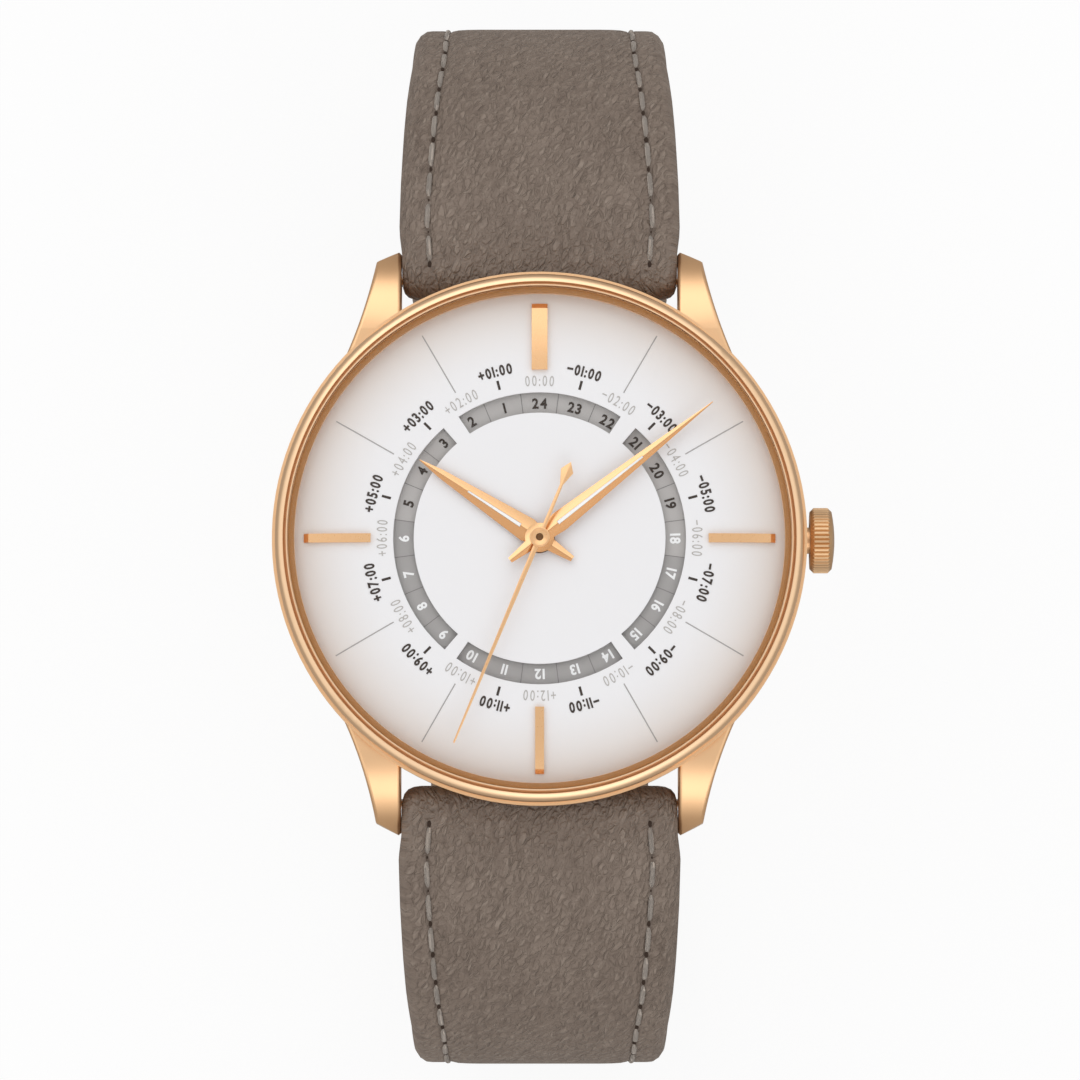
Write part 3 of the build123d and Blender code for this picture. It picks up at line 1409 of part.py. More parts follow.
# Pin buckle on the short half: a bow with two ears, its bar and its tongue
bow_in_w = strap_end_w + 2 * buckle_side_gap
bow_front_y = buckle_y - buckle_len
with BuildPart() as buckle_frame:
    with BuildSketch(Plane.XY.offset(ground_z)) as bow:
        with Locations((0, bow_front_y)):
            Rectangle(buckle_w, buckle_len + buckle_ear_back, align=(Align.CENTER, Align.MIN))
        fillet(bow.vertices().group_by(Axis.Y)[0], buckle_round)
        with Locations((0, bow_front_y + buckle_cross_w)):
            low_middle = (Align.CENTER, Align.MIN)
            Rectangle(bow_in_w, buckle_len + overrun, align=low_middle, mode=Mode.SUBTRACT)
    extrude(amount=buckle_h)
    chamfer(buckle_frame.faces().sort_by(Axis.Z)[0].edges(), buckle_edge)
    cross_bar(buckle_at, buckle_bar_r, buckle_w - 2 * buckle_bar_short, Mode.SUBTRACT)
    with Locations((0, bow_front_y, ground_z)):
        Box(
            tongue_w + 2 * tongue_notch_gap, 2 * buckle_cross_w, 2 * (tongue_lift + tongue_t + run_gap),
            mode=Mode.SUBTRACT,
        )
save("buckle_frame", buckle_frame)

with BuildPart() as buckle_bar:
    cross_bar(buckle_at, buckle_bar_r - seat_gap / 2, buckle_w - 2 * buckle_bar_short - seat_gap)
save("buckle_bar", buckle_bar)

with BuildPart() as buckle_tongue:
    with BuildSketch(Plane.XY.offset(ground_z + tongue_lift)):
        with BuildLine():
            tip_y = bow_front_y + tongue_past
            Polyline(
                (tongue_w / 2, buckle_y), (tongue_tip_w / 2, tip_y),
                (-tongue_tip_w / 2, tip_y), (-tongue_w / 2, buckle_y), close=True,
            )
        make_face()
    extrude(amount=tongue_t)
    cross_bar(buckle_at, tongue_loop_r, tongue_w)
    cross_bar(buckle_at, buckle_bar_r + run_gap, buckle_w, Mode.SUBTRACT)
save("buckle_tongue", buckle_tongue)


# Keepers: leather loops round the short half, with room for the long half's end
def keeper(distance):
    plane = strap_plane(short_path, 1, short_len - distance - keeper_w)
    inner_w = strap_end_w + 2 * keeper_side_gap
    inner_h = strap_end_t + keeper_seat_gap + keeper_room
    with BuildPart() as piece:
        with BuildSketch(plane) as loop:
            with Locations((0, strap_end_t / 2 + keeper_seat_gap)):
                Rectangle(inner_w, inner_h, align=(Align.CENTER, Align.MAX))
            offset(amount=keeper_t)
            with Locations((0, strap_end_t / 2 + keeper_seat_gap)):
                Rectangle(inner_w, inner_h, align=(Align.CENTER, Align.MAX), mode=Mode.SUBTRACT)
        extrude(amount=keeper_w)
    return piece


save("fixed_keeper", keeper(fixed_keeper_at))
save("free_keeper", keeper(fixed_keeper_at + keeper_w + free_keeper_gap))
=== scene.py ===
import json
from math import cos, hypot, pi, radians, sin, sqrt, tan

import bpy
from mathutils import Matrix, Vector

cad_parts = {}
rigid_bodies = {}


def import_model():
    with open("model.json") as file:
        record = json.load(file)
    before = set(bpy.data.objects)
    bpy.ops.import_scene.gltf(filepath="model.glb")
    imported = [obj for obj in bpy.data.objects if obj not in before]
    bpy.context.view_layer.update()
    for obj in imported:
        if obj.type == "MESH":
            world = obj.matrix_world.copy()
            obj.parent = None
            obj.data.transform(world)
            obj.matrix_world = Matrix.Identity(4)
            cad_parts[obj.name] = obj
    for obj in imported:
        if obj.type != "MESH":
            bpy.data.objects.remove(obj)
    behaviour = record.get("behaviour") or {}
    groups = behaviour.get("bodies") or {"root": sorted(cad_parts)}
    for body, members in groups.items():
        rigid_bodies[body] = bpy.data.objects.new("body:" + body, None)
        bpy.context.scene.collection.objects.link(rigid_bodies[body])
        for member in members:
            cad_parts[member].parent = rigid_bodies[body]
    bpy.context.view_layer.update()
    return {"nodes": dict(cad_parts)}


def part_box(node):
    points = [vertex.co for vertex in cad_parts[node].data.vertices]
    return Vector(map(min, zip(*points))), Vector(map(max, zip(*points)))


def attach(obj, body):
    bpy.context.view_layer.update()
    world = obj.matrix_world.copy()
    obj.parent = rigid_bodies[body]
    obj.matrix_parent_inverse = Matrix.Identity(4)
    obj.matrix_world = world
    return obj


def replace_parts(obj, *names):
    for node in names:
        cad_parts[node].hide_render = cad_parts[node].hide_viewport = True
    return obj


mm = 0.001
near = 0.0001 * mm      # how near a vertex lies to the place it was given

# Start from an empty scene, then bring in the watch's frame
bpy.ops.object.select_all(action="SELECT")
bpy.ops.object.delete()
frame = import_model()
cadNodes = frame["nodes"]
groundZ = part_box("strap_long")[0].z
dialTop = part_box("dial")[1].z
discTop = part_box("hour_disc_24")[1].z
print("frame loaded:", len(cadNodes), "nodes")


# Small helpers for modelling

def setMode(name):
    bpy.ops.object.mode_set(mode=name)


def selectAll(action="SELECT"):
    bpy.ops.mesh.select_all(action=action)


def nothingSelected():
    if bpy.context.object and bpy.context.object.mode != "OBJECT":
        setMode("OBJECT")
    bpy.ops.object.select_all(action="DESELECT")


def onlySelected(*pieces):
    nothingSelected()
    for piece in pieces:
        piece.select_set(True)
    bpy.context.view_layer.objects.active = pieces[0]


def named(name):
    piece = bpy.context.object
    piece.name = piece.data.name = name
    return piece


def applied(piece):
    onlySelected(piece)
    bpy.ops.object.transform_apply(location=True, rotation=True, scale=True)
    return piece


def withModifier(piece, kind, **settings):
    onlySelected(piece)
    bpy.ops.object.modifier_add(type=kind)
    modifier = piece.modifiers[-1]
    for key, value in settings.items():
        setattr(modifier, key, value)
    bpy.ops.object.modifier_apply(modifier=modifier.name)


def softEdges(piece, width, segments):
    # Rounds every edge that turns more than 50 degrees
    withModifier(piece, "BEVEL", width=width * mm, segments=segments, limit_method="ANGLE",
                 angle_limit=radians(50))


def cutOut(piece, tool):
    withModifier(piece, "BOOLEAN", object=tool, operation="DIFFERENCE", solver="EXACT")
    removed(tool)


def smoothed(piece, angle=40):
    onlySelected(piece)
    bpy.ops.object.shade_smooth_by_angle(angle=radians(angle))
    return piece


def painted(piece, *coats):
    piece.data.materials.clear()
    for coat in coats:
        piece.data.materials.append(coat)
    return piece


def copied(piece, matrix):
    twin = piece.copy()
    twin.data = piece.data.copy()
    twin.matrix_world = matrix
    bpy.context.collection.objects.link(twin)
    return twin


def joined(name, pieces):
    onlySelected(*pieces)
    if len(pieces) > 1:
        bpy.ops.object.join()
    return applied(named(name))


def removed(piece):
    bpy.data.objects.remove(piece)


def editChosen(piece, kind, rule):
    # Edit mode with the vertices, edges or faces for which the rule holds
    onlySelected(piece)
    setMode("EDIT")
    bpy.ops.mesh.select_mode(type=kind)
    selectAll("DESELECT")
    setMode("OBJECT")
    parts = {"VERT": piece.data.vertices, "EDGE": piece.data.edges, "FACE": piece.data.polygons}
    for part in parts[kind]:
        part.select = rule(part)
    setMode("EDIT")


def editVertices(piece, rule):
    editChosen(piece, "VERT", lambda vertex: rule(vertex.co))


def editAll(piece):
    onlySelected(piece)
    setMode("EDIT")
    selectAll()


def outward(piece):
    editAll(piece)
    bpy.ops.mesh.normals_make_consistent(inside=False)
    setMode("OBJECT")
    return piece


def emptyPiece(name):
    # A mesh with nothing in it yet, in edit mode
    nothingSelected()
    bpy.ops.mesh.primitive_plane_add(size=mm)
    piece = named(name)
    setMode("EDIT")
    bpy.ops.mesh.select_mode(type="VERT")
    bpy.ops.mesh.delete(type="VERT")
    return piece


def drawRow(points):
    # A row of edges, drawn by extruding one vertex from point to point
    selectAll("DESELECT")
    bpy.ops.mesh.primitive_circle_add(vertices=3, radius=mm, location=points[0])
    bpy.ops.mesh.merge(type="CENTER")
    for last, point in zip(points, points[1:]):
        step = [b - a for a, b in zip(last, point)]
        bpy.ops.mesh.extrude_vertices_move(TRANSFORM_OT_translate={"value": step})


def loft(name, rings, cuts):
    # A closed skin over rings that each lie in a plane of constant Y, straight between them
    piece = emptyPiece(name)
    for ring in rings:
        drawRow(ring)
    for ring in rings:
        ends = (Vector(ring[0]), Vector(ring[-1]))
        editVertices(piece, lambda co: min((co - end).length for end in ends) < near)
        bpy.ops.mesh.edge_face_add()
    levels = [ring[0][1] for ring in rings]
    for i, cut in enumerate(cuts):
        pair = levels[i : i + 2]
        editVertices(piece, lambda co: min(abs(co.y - level) for level in pair) < near)
        bpy.ops.mesh.bridge_edge_loops(number_cuts=cut, interpolation="LINEAR")
    for level in (levels[0], levels[-1]):
        editVertices(piece, lambda co: abs(co.y - level) < near)
        bpy.ops.mesh.edge_face_add()
    return outward(piece)


# Shader maths: a wired socket does sums, a tree of nodes makes them, and a finish is one material

class Wire:
    def __init__(self, nodes, socket):
        self.nodes, self.socket = nodes, socket

    def run(self, operation, *values):
        return self.nodes.node("Math", {"operation": operation}, dict(enumerate(values)))

    def __add__(self, other):
        return self.run("ADD", self, other)

    def __sub__(self, other):
        return self.run("SUBTRACT", self, other)

    def __rsub__(self, other):
        return self.run("SUBTRACT", other, self)

    def __mul__(self, other):
        return self.run("MULTIPLY", self, other)

    __radd__ = __add__
    __rmul__ = __mul__


class Nodes:
    def __init__(self, tree):
        self.tree = tree
        tree.nodes.clear()

    def set(self, node, sockets):
        for key, value in sockets.items():
            if isinstance(key, int):
                socket = node.inputs[key]
            else:
                socket = next(s for s in node.inputs if s.name == key and s.enabled)
            if isinstance(value, Wire):
                self.tree.links.new(value.socket, socket)
            else:
                socket.default_value = value

    def node(self, kind, settings=None, sockets=None, output=0):
        made = self.tree.nodes.new("ShaderNode" + kind)
        for key, value in (settings or {}).items():
            if key == "stops":
                ramp = made.color_ramp
                while len(ramp.elements) < len(value):
                    ramp.elements.new(1)
                for element, (position, colour) in zip(ramp.elements, value):
                    element.position, element.color = position, (*colour, 1)
            else:
                setattr(made, key, value)
        self.set(made, sockets or {})
        shown = [s for s in made.outputs if s.enabled]
        return Wire(self, made.outputs[output] if isinstance(output, str) else shown[output])

    def place(self):
        return self.node("TexCoord", output="Object")

    def flat(self):
        return self.node("TexCoord", output="UV")

    def centred(self, place):
        return self.node("VectorMath", {"operation": "SUBTRACT"}, {0: self.place(), 1: place})

    def stretched(self, vector, scale):
        return self.node("Mapping", None, {"Vector": vector, "Scale": scale})

    def turned(self, vector, turn):
        return self.node("Mapping", None, {"Vector": vector, "Rotation": (0, 0, turn)})

    def noise(self, vector, scale, detail=3.0, roughness=0.5, distortion=0.0):
        return self.node("TexNoise", None, {
            "Vector": vector, "Scale": scale, "Detail": detail, "Roughness": roughness,
            "Distortion": distortion,
        })

    def cells(self, vector, scale, feature="F1", randomness=1.0):
        return self.node("TexVoronoi", {"feature": feature}, {
            "Vector": vector, "Scale": scale, "Randomness": randomness,
        }, "Distance")

    def fit(self, value, low, high, toLow=0.0, toHigh=1.0):
        return self.node("MapRange", {"interpolation_type": "SMOOTHSTEP"}, {
            "Value": value, "From Min": low, "From Max": high, "To Min": toLow, "To Max": toHigh,
        })

    def mix(self, factor, first, second):
        return self.node("Mix", {"data_type": "RGBA"}, {
            "Factor": factor,
            "A": first if isinstance(first, Wire) else (*first, 1),
            "B": second if isinstance(second, Wire) else (*second, 1),
        })

    def radius(self, vector):
        level = self.node("VectorMath", {"operation": "MULTIPLY"}, {0: vector, 1: (1, 1, 0)})
        return self.node("VectorMath", {"operation": "LENGTH"}, {0: level}, "Value")

    def part(self, vector, axis):
        return self.node("SeparateXYZ", None, {"Vector": vector}, axis)

    def bump(self, height, depth):
        # Depth is the real height of the relief, in metres
        return self.node("Bump", None, {"Height": height, "Distance": depth, "Strength": 1.0})


class Finish(Nodes):
    def __init__(self, name, sockets=None):
        self.material = bpy.data.materials.new(name)
        self.material.use_nodes = True
        super().__init__(self.material.node_tree)
        self.shader = self.tree.nodes.new("ShaderNodeBsdfPrincipled")
        self.end = self.tree.nodes.new("ShaderNodeOutputMaterial")
        self.body = Wire(self, self.shader.outputs[0])
        self.set(self.end, {"Surface": self.body})
        self.set(self.shader, sockets or {})

    def paint(self, **sockets):
        names = {"colour": "Base Color", "roughness": "Roughness", "normal": "Normal"}
        self.set(self.shader, {names[key]: value for key, value in sockets.items()})
        return self.material

    def grained(self, grain, first, second, roughness, spread, depth):
        # One grain for the colour, the gloss and the relief
        return self.paint(
            colour=self.mix(grain, first, second), roughness=roughness + grain * spread,
            normal=self.bump(grain, depth),
        )

    def over(self, share, first, second):
        # The second look over the first, where the share is 1
        both = self.node("MixShader", None, {0: share, 1: first, 2: second})
        self.set(self.end, {"Surface": both})
        return self.material


# Camera: almost straight above the dial, a little to the 6 o'clock side
cameraView = {
    "distance": 600 * mm, "width": 81.46 * mm, "elevation": 85.7, "aim": (0.03 * mm, -0.15 * mm),
    "nearest": 0.01, "farthest": 10,
}


def addCamera(view):
    aim = Vector((*view["aim"], dialTop))
    lift = radians(view["elevation"])
    spot = aim + view["distance"] * Vector((0, -cos(lift), sin(lift)))
    bpy.ops.object.camera_add(location=spot)
    camera = bpy.context.object
    camera.rotation_euler = (aim - spot).to_track_quat("-Z", "Y").to_euler()
    camera.data.lens = camera.data.sensor_width * view["distance"] / view["width"]
    camera.data.clip_start, camera.data.clip_end = view["nearest"], view["farthest"]
    bpy.context.scene.camera = camera


# Studio: a broad soft lamp beyond 12 o'clock, a weaker one before 6 o'clock, and a pale room
studio = {
    "lampPlace": (-0.16, 0.56, 0.62), "lampSize": 1.0, "lampPower": 1.42,
    "frontPlace": (0.10, -0.60, 0.60), "frontSize": 0.6, "frontPower": 0.6,
    "room": ((0.0, (0.36, 0.34, 0.32)), (0.28, (0.84, 0.825, 0.81)), (0.60, (1.0, 1.0, 1.0)),
             (0.84, (0.90, 0.90, 0.91)), (1.0, (0.69, 0.695, 0.71))),
    "floorSize": 3.0, "floorColour": (0.93, 0.93, 0.93), "floorFibre": (0.9114, 0.9114, 0.9114),
    "floorGlow": 0.86, "floorMirrored": (0.34, 0.315, 0.29),
}


def addLamp(name, place, size, power):
    bpy.ops.object.light_add(type="AREA", location=place)
    lamp = named(name)
    lamp.data.shape, lamp.data.size, lamp.data.energy = "DISK", size, power
    lamp.rotation_euler = (-Vector(place)).to_track_quat("-Z", "Y").to_euler()      # towards the watch


def addStudio(look):
    addLamp("topLamp", look["lampPlace"], look["lampSize"], look["lampPower"])
    addLamp("frontLamp", look["frontPlace"], look["frontSize"], look["frontPower"])
    world = bpy.data.worlds.new("studioRoom")
    bpy.context.scene.world = world
    world.use_nodes = True
    room = Nodes(world.node_tree)
    height = room.part(room.node("TexCoord", output="Generated"), "Z")
    tone = room.node("ValToRGB", {"stops": look["room"]}, {"Fac": height}, "Color")
    seen = room.node("LightPath", output="Is Camera Ray")
    light = room.node("Background", None, {"Color": room.mix(seen, tone, (1, 1, 1))})
    room.set(room.tree.nodes.new("ShaderNodeOutputWorld"), {"Surface": light})

    nothingSelected()
    bpy.ops.mesh.primitive_plane_add(size=look["floorSize"], location=(0, 0, groundZ))
    floor = applied(named("floor"))
    paper = Finish("palePaper", {"Roughness": 0.85, "Specular IOR Level": 0.1})
    fibre = paper.noise(paper.place(), 900, 4)
    paper.paint(
        colour=paper.mix(fibre, look["floorColour"], look["floorFibre"]), normal=paper.bump(fibre, 0.00002),
    )
    # white where the camera sees it, a darker card where polished metal mirrors it
    mirrored, seen, through = (paper.node("LightPath", output=name)
                               for name in ("Is Glossy Ray", "Is Camera Ray", "Is Transmission Ray"))
    card = paper.mix(mirrored, (1, 1, 1), look["floorMirrored"])
    glow = paper.node("Emission", None, {"Color": card, "Strength": 1.0})
    shown = mirrored + seen + through
    share = shown.run("MINIMUM", shown, 1.0) * look["floorGlow"]
    painted(floor, paper.over(share, paper.body, glow))


bpy.context.scene.view_settings.view_transform = "Standard"
addCamera(cameraView)
addStudio(studio)
print("camera, lamps and floor ready")


# Finishes
tones = {
    "roseGold": (0.97, 0.61, 0.335), "trimGold": (0.95, 0.575, 0.295), "crownShadedGold": (0.74, 0.49, 0.28),
    "bezelLitGold": (1.0, 0.69, 0.43), "handShade": (0.62, 0.30, 0.12), "grooveShadeGold": (0.42, 0.25, 0.13),
    "dialMiddle": (0.83, 0.825, 0.835), "dialEdgeShadeReflection": (0.75, 0.705, 0.67), "dialCloud": (0.95, 0.95, 0.96),
    "discNight": (0.47, 0.45, 0.435), "discDay": (0.385, 0.37, 0.36),
    "printBlack": (0.046, 0.034, 0.027), "printGrey": (0.45, 0.43, 0.41), "printWhite": (0.86, 0.86, 0.86),
    "hairline": (0.36, 0.345, 0.335), "divider": (0.20, 0.19, 0.185),
    "leather": (0.215, 0.165, 0.131), "leatherDark": (0.125, 0.091, 0.070),
    "leatherLight": (0.315, 0.252, 0.206), "lining": (0.34, 0.235, 0.155), "liningDark": (0.25, 0.165, 0.105),
    "thread": (0.62, 0.53, 0.45), "needleHoleShade": (0.030, 0.016, 0.009),
    "nickel": (0.66, 0.64, 0.60), "brass": (0.80, 0.59, 0.26),
    "steel": (0.58, 0.585, 0.60), "blue": (0.06, 0.10, 0.34), "bore": (0.20, 0.10, 0.045),
    "ruby": (0.55, 0.02, 0.09), "rubyLight": (0.8, 0.05, 0.16), "rubber": (0.03, 0.03, 0.03),
    "nylon": (0.40, 0.19, 0.065), "nylonLight": (0.44, 0.21, 0.075), "plastic": (0.05, 0.05, 0.052),
    "lume": (0.88, 0.89, 0.86), "glassFilm": (0.9, 0.93, 0.97, 1),
}
handAngles = {"hour": 147.0, "minute": 38.1, "second": 247.4}
hourTurn = 15      # degrees for an hour on the 24 hour disc
bezelGroove = 19.27 * mm
crystalReach, backGlassReach = 19.0 * mm, 13.4 * mm


def dulled(tone, share=0.95):
    return [share * c for c in tone]


def polishedGold(name, tone, roughness, groove=None):
    # Coated steel: fine polishing marks and faint smudges, and painted shade in a turned groove
    gold = Finish(name, {"Metallic": 1.0})
    smudge = gold.noise(gold.place(), 160, 4)
    marks = gold.noise(gold.stretched(gold.place(), (1, 1, 6)), 2600, 3)
    colour = gold.mix(smudge, tone, dulled(tone))
    gloss = roughness + smudge * 0.06 + marks * 0.04
    if groove:
        # painted shade: the colour darkens towards a brown gold in the groove
        off = gold.radius(gold.place()) - groove
        grooveShade = gold.fit(off.run("ABSOLUTE", off), 0.00004, 0.00014, 1, 0)
        colour = gold.mix(grooveShade * 0.45, colour, tones["grooveShadeGold"])
        gloss = gloss + grooveShade * 0.3
    return gold.paint(colour=colour, roughness=gloss, normal=gold.bump(marks, 0.0000012))


def brushedGold(name, tone):
    # Fine lines along the hands and markers
    gold = Finish(name, {"Metallic": 1.0})
    lines = gold.noise(gold.place(), 9000, 2)
    cloud = gold.noise(gold.place(), 420, 3)
    return gold.paint(
        colour=gold.mix(cloud, tone, dulled(tone)), roughness=0.24 + lines * 0.10,
        normal=gold.bump(lines, 0.0000010),
    )


def ridgedGold(name, tone, angle, shadedSide):
    # A hand lying at this angle: its long sides slope away from the middle line, and one side is in painted
    # shade
    gold = Finish(name, {"Metallic": 1.0})
    along = gold.turned(gold.place(), radians(-angle))
    side = gold.part(along, "Y")
    off = side * side + 1e-9
    lines = gold.noise(gold.stretched(along, (0.12, 1, 1)), 9000, 2)
    # painted shade on one long side, as if lit from the upper left
    return gold.paint(
        colour=gold.mix(gold.fit(side * shadedSide, -0.00003, 0.00003) * 0.75, tone, tones["handShade"]),
        roughness=0.25 + lines * 0.03,
        normal=gold.bump(off.run("SQRT", off) * -350, 0.001),
    )


def silveredDial():
    # Matt silvered lacquer with a very fine grain; darker and warmer where the dial falls away, a painted
    # shade and a painted reflection of the gold bezel
    dial = Finish("silveredDial", {"Metallic": 0.0, "Specular IOR Level": 0.35})
    place = dial.place()
    grain = dial.noise(place, 11000, 2)
    # painted shade and painted reflection of the bezel towards the dial's edge
    edge = dial.fit(dial.radius(place), 0.0125, 0.0186)
    cloud = dial.noise(place, 130, 2)
    tone = dial.mix(edge, tones["dialMiddle"], tones["dialEdgeShadeReflection"])
    return dial.paint(
        colour=dial.mix(cloud * 0.05, tone, tones["dialCloud"]),
        roughness=0.42 + grain * 0.12,
        normal=dial.bump(grain, 0.0000010),
    )


def discPaint():
    # The 24 hour disc: a lighter grey for the night hours and a darker one for the day
    disc = Finish("discPaint", {"Metallic": 0.0, "Specular IOR Level": 0.35})
    place = disc.place()
    grain = disc.noise(place, 9000, 2)
    turn = radians(hourTurn / 2)
    across = disc.part(place, "Y") * cos(turn) + disc.part(place, "X") * sin(turn)
    return disc.paint(
        colour=disc.mix(disc.fit(across, -0.00002, 0.00002), tones["discDay"], tones["discNight"]),
        roughness=0.5 + grain * 0.1,
        normal=disc.bump(grain, 0.0000010),
    )


def printInk(name, tone):
    # Pad printing: a thin, slightly raised and uneven film of ink
    ink = Finish(name, {"Specular IOR Level": 0.3})
    film = ink.noise(ink.place(), 14000, 3)
    return ink.grained(film, tone, [min(1, 1.12 * c + 0.004) for c in tone], 0.45, 0.15, 0.000001)


def strapLeather(name, tone, dark, light, cell):
    # Pebbled calf: soft cells with fine creases between them, on the strap's own flat coordinates; the colour
    # carries painted shade in the creases and the stitch channel, and painted highlight and shade on the
    # folds
    skin = Finish(name, {"Specular IOR Level": 0.35})
    flat = skin.flat()
    drift = skin.node("TexNoise", None, {"Vector": flat, "Scale": 900.0, "Detail": 3.0}, "Color")
    shift = skin.node("VectorMath", {"operation": "SCALE"}, {0: drift, "Scale": 0.0008})
    bent = skin.node("VectorMath", {"operation": "ADD"}, {0: flat, 1: shift})
    grained = skin.stretched(skin.turned(bent, 0.5), (1.0, 0.5, 1.0))
    crease = skin.fit(skin.cells(grained, 1 / cell, "DISTANCE_TO_EDGE"), 0.0, 0.26)
    pores = skin.noise(flat, 7000, 3)
    slanted = skin.stretched(skin.turned(flat, 0.5), (1.0, 0.42, 1.0))
    folds = skin.noise(slanted, 2100, 3, 0.55, 0.6)
    patch = skin.noise(flat, 140, 5)
    # the pressed stitch channel, darkened below as painted shade
    channel = skin.node("Attribute", {"attribute_name": "seamChannel"}, output="Fac")
    height = crease * 0.30 + folds * 0.9 + pores * 0.08
    worn = skin.mix(skin.fit(patch, 0.25, 0.75), dark, light)
    coloured = skin.mix(0.22, tone, worn)
    # painted light: the tops of the folds lighter, their hollows and the creases between cells darker
    foldHighlight = skin.mix(skin.fit(folds, 0.50, 0.72) * 0.55, coloured, light)
    foldShade = skin.mix(skin.fit(folds, 0.30, 0.48, 1, 0) * 0.42, foldHighlight, dark)
    shaded = skin.mix((1 - crease) * 0.24, foldShade, dark)
    return skin.paint(
        colour=skin.mix(channel * 0.55, shaded, dulled(dark, 0.45)),
        roughness=0.54 + (1 - crease) * 0.10 - folds * 0.12,
        normal=skin.bump(height, 0.00036),
    )


def edgePaint():
    # Burnished and painted cut edge
    edge = Finish("strapEdgePaint", {"Specular IOR Level": 0.3})
    flow = edge.noise(edge.place(), 700, 4)
    return edge.grained(flow, tones["leatherDark"], tones["leather"], 0.45, 0.2, 0.00006)


def twistedThread():
    # Waxed thread: very fine slanting strands, on each stitch's own flat coordinates
    thread = Finish("twistedThread", {"Sheen Weight": 0.2})
    lay = thread.node("TexWave", {"wave_type": "BANDS", "bands_direction": "DIAGONAL"}, {
        "Vector": thread.flat(), "Scale": 900.0, "Distortion": 1.5, "Detail": 2.0,
    }, "Fac")
    fuzz = thread.noise(thread.place(), 6000, 3)
    return thread.paint(
        colour=thread.mix(lay * 0.5 + fuzz * 0.5, dulled(tones["thread"], 0.7), tones["thread"]),
        roughness=0.7 + fuzz * 0.15,
        normal=thread.bump(lay * 0.8 + fuzz * 0.3, 0.00004),
    )


def stripedNickel(name, turn):
    # Nickel plated bridges with rounded stripes across them
    nickel = Finish(name, {"Metallic": 1.0})
    bands = nickel.node("TexWave", {"wave_type": "BANDS", "wave_profile": "SIN"}, {
        "Vector": nickel.turned(nickel.place(), turn), "Scale": 62.0,
    }, "Fac")
    streaks = nickel.node("Mapping", None, {
        "Vector": nickel.place(), "Rotation": (0, 0, turn), "Scale": (9000, 300, 300),
    })
    lines = nickel.noise(streaks, 1.0, 2)
    return nickel.paint(
        colour=nickel.mix(bands, dulled(tones["nickel"], 0.9), tones["nickel"]),
        roughness=0.22 + bands * 0.14 + lines * 0.1,
        normal=nickel.bump(bands * 0.7 + lines * 0.06, 0.00006),
    )


def spottedNickel():
    # Overlapping round spots on the main plate
    nickel = Finish("spottedPlate", {"Metallic": 1.0})
    spots = nickel.cells(nickel.place(), 900, randomness=0.15)
    rings = spots.run("SINE", spots * 46.0)
    return nickel.paint(
        colour=nickel.mix(spots, tones["nickel"], dulled(tones["nickel"], 0.84)),
        roughness=0.26 + rings * 0.05,
        normal=nickel.bump(rings * 0.3 + spots, 0.000012),
    )


def turnedMetal(name, tone, centre, roughness=0.22):
    # Metal faced on a lathe: rings about its own centre
    metal = Finish(name, {"Metallic": 1.0})
    about = metal.centred(centre)
    rings = metal.node("TexNoise", {"noise_dimensions": "1D"}, {
        "W": metal.radius(about), "Scale": 16000.0, "Detail": 3.0,
    })
    cloud = metal.noise(about, 700, 3)
    return metal.paint(
        colour=metal.mix(cloud, tone, dulled(tone, 0.9)), roughness=roughness + rings * 0.12,
        normal=metal.bump(rings, 0.0000022),
    )


def plainSteel(name, tone, roughness):
    steel = Finish(name, {"Metallic": 1.0})
    marks = steel.noise(steel.stretched(steel.place(), (1, 8, 1)), 1800, 3)
    return steel.grained(marks, tone, dulled(tone, 0.9), roughness, 0.1, 0.0000015)


def clearGlass(name, reach):
    # Coated sapphire: clear, with reflections that rise at a slant, and none on its seated edge
    glass = Finish(name, {"Metallic": 1.0, "Base Color": tones["glassFilm"]})
    glass.paint(roughness=0.015 + glass.noise(glass.place(), 60, 2) * 0.01)
    clear = glass.node("BsdfTransparent", None, {"Color": (1, 1, 1, 1)})
    facing = glass.node("LayerWeight", None, {"Blend": 0.5}, "Facing")
    slant = facing.run("POWER", facing, 5.0) * 0.7 + 0.003
    face = glass.fit(glass.radius(glass.place()), reach - 0.0003, reach - 0.0001, 1, 0)
    return glass.over(slant * face, clear, glass.body)


def moulded(name, tone, roughness):
    # Rubber, plastic or luminous paint with a fine grain
    plastic = Finish(name, {"Specular IOR Level": 0.4})
    grain = plastic.noise(plastic.place(), 3000, 3)
    return plastic.grained(grain, tone, [min(1, 1.2 * c) for c in tone], roughness, 0.1, 0.000004)


def tintedNylon():
    # The crystal's gasket: amber nylon, its colour deepened into a painted reflection of the gold bezel round
    # it
    nylon = Finish("tintedNylon", {"Specular IOR Level": 0.35})
    grain = nylon.noise(nylon.place(), 12000, 2)
    return nylon.grained(grain, tones["nylon"], tones["nylonLight"], 0.4, 0.1, 0.000001)


def rubyStone():
    ruby = Finish("rubyStone", {"Specular IOR Level": 0.8, "Coat Weight": 0.6, "Coat Roughness": 0.05})
    veil = ruby.noise(ruby.place(), 2400, 3)
    return ruby.paint(colour=ruby.mix(veil, tones["ruby"], tones["rubyLight"]), roughness=0.08 + veil * 0.06)


caseGold = polishedGold("caseGold", tones["roseGold"], 0.27)
# the bezel: a lighter copy of the case's rose gold, a painted highlight
bezelLitGold = polishedGold("bezelLitGold", tones["bezelLitGold"], 0.25, bezelGroove)
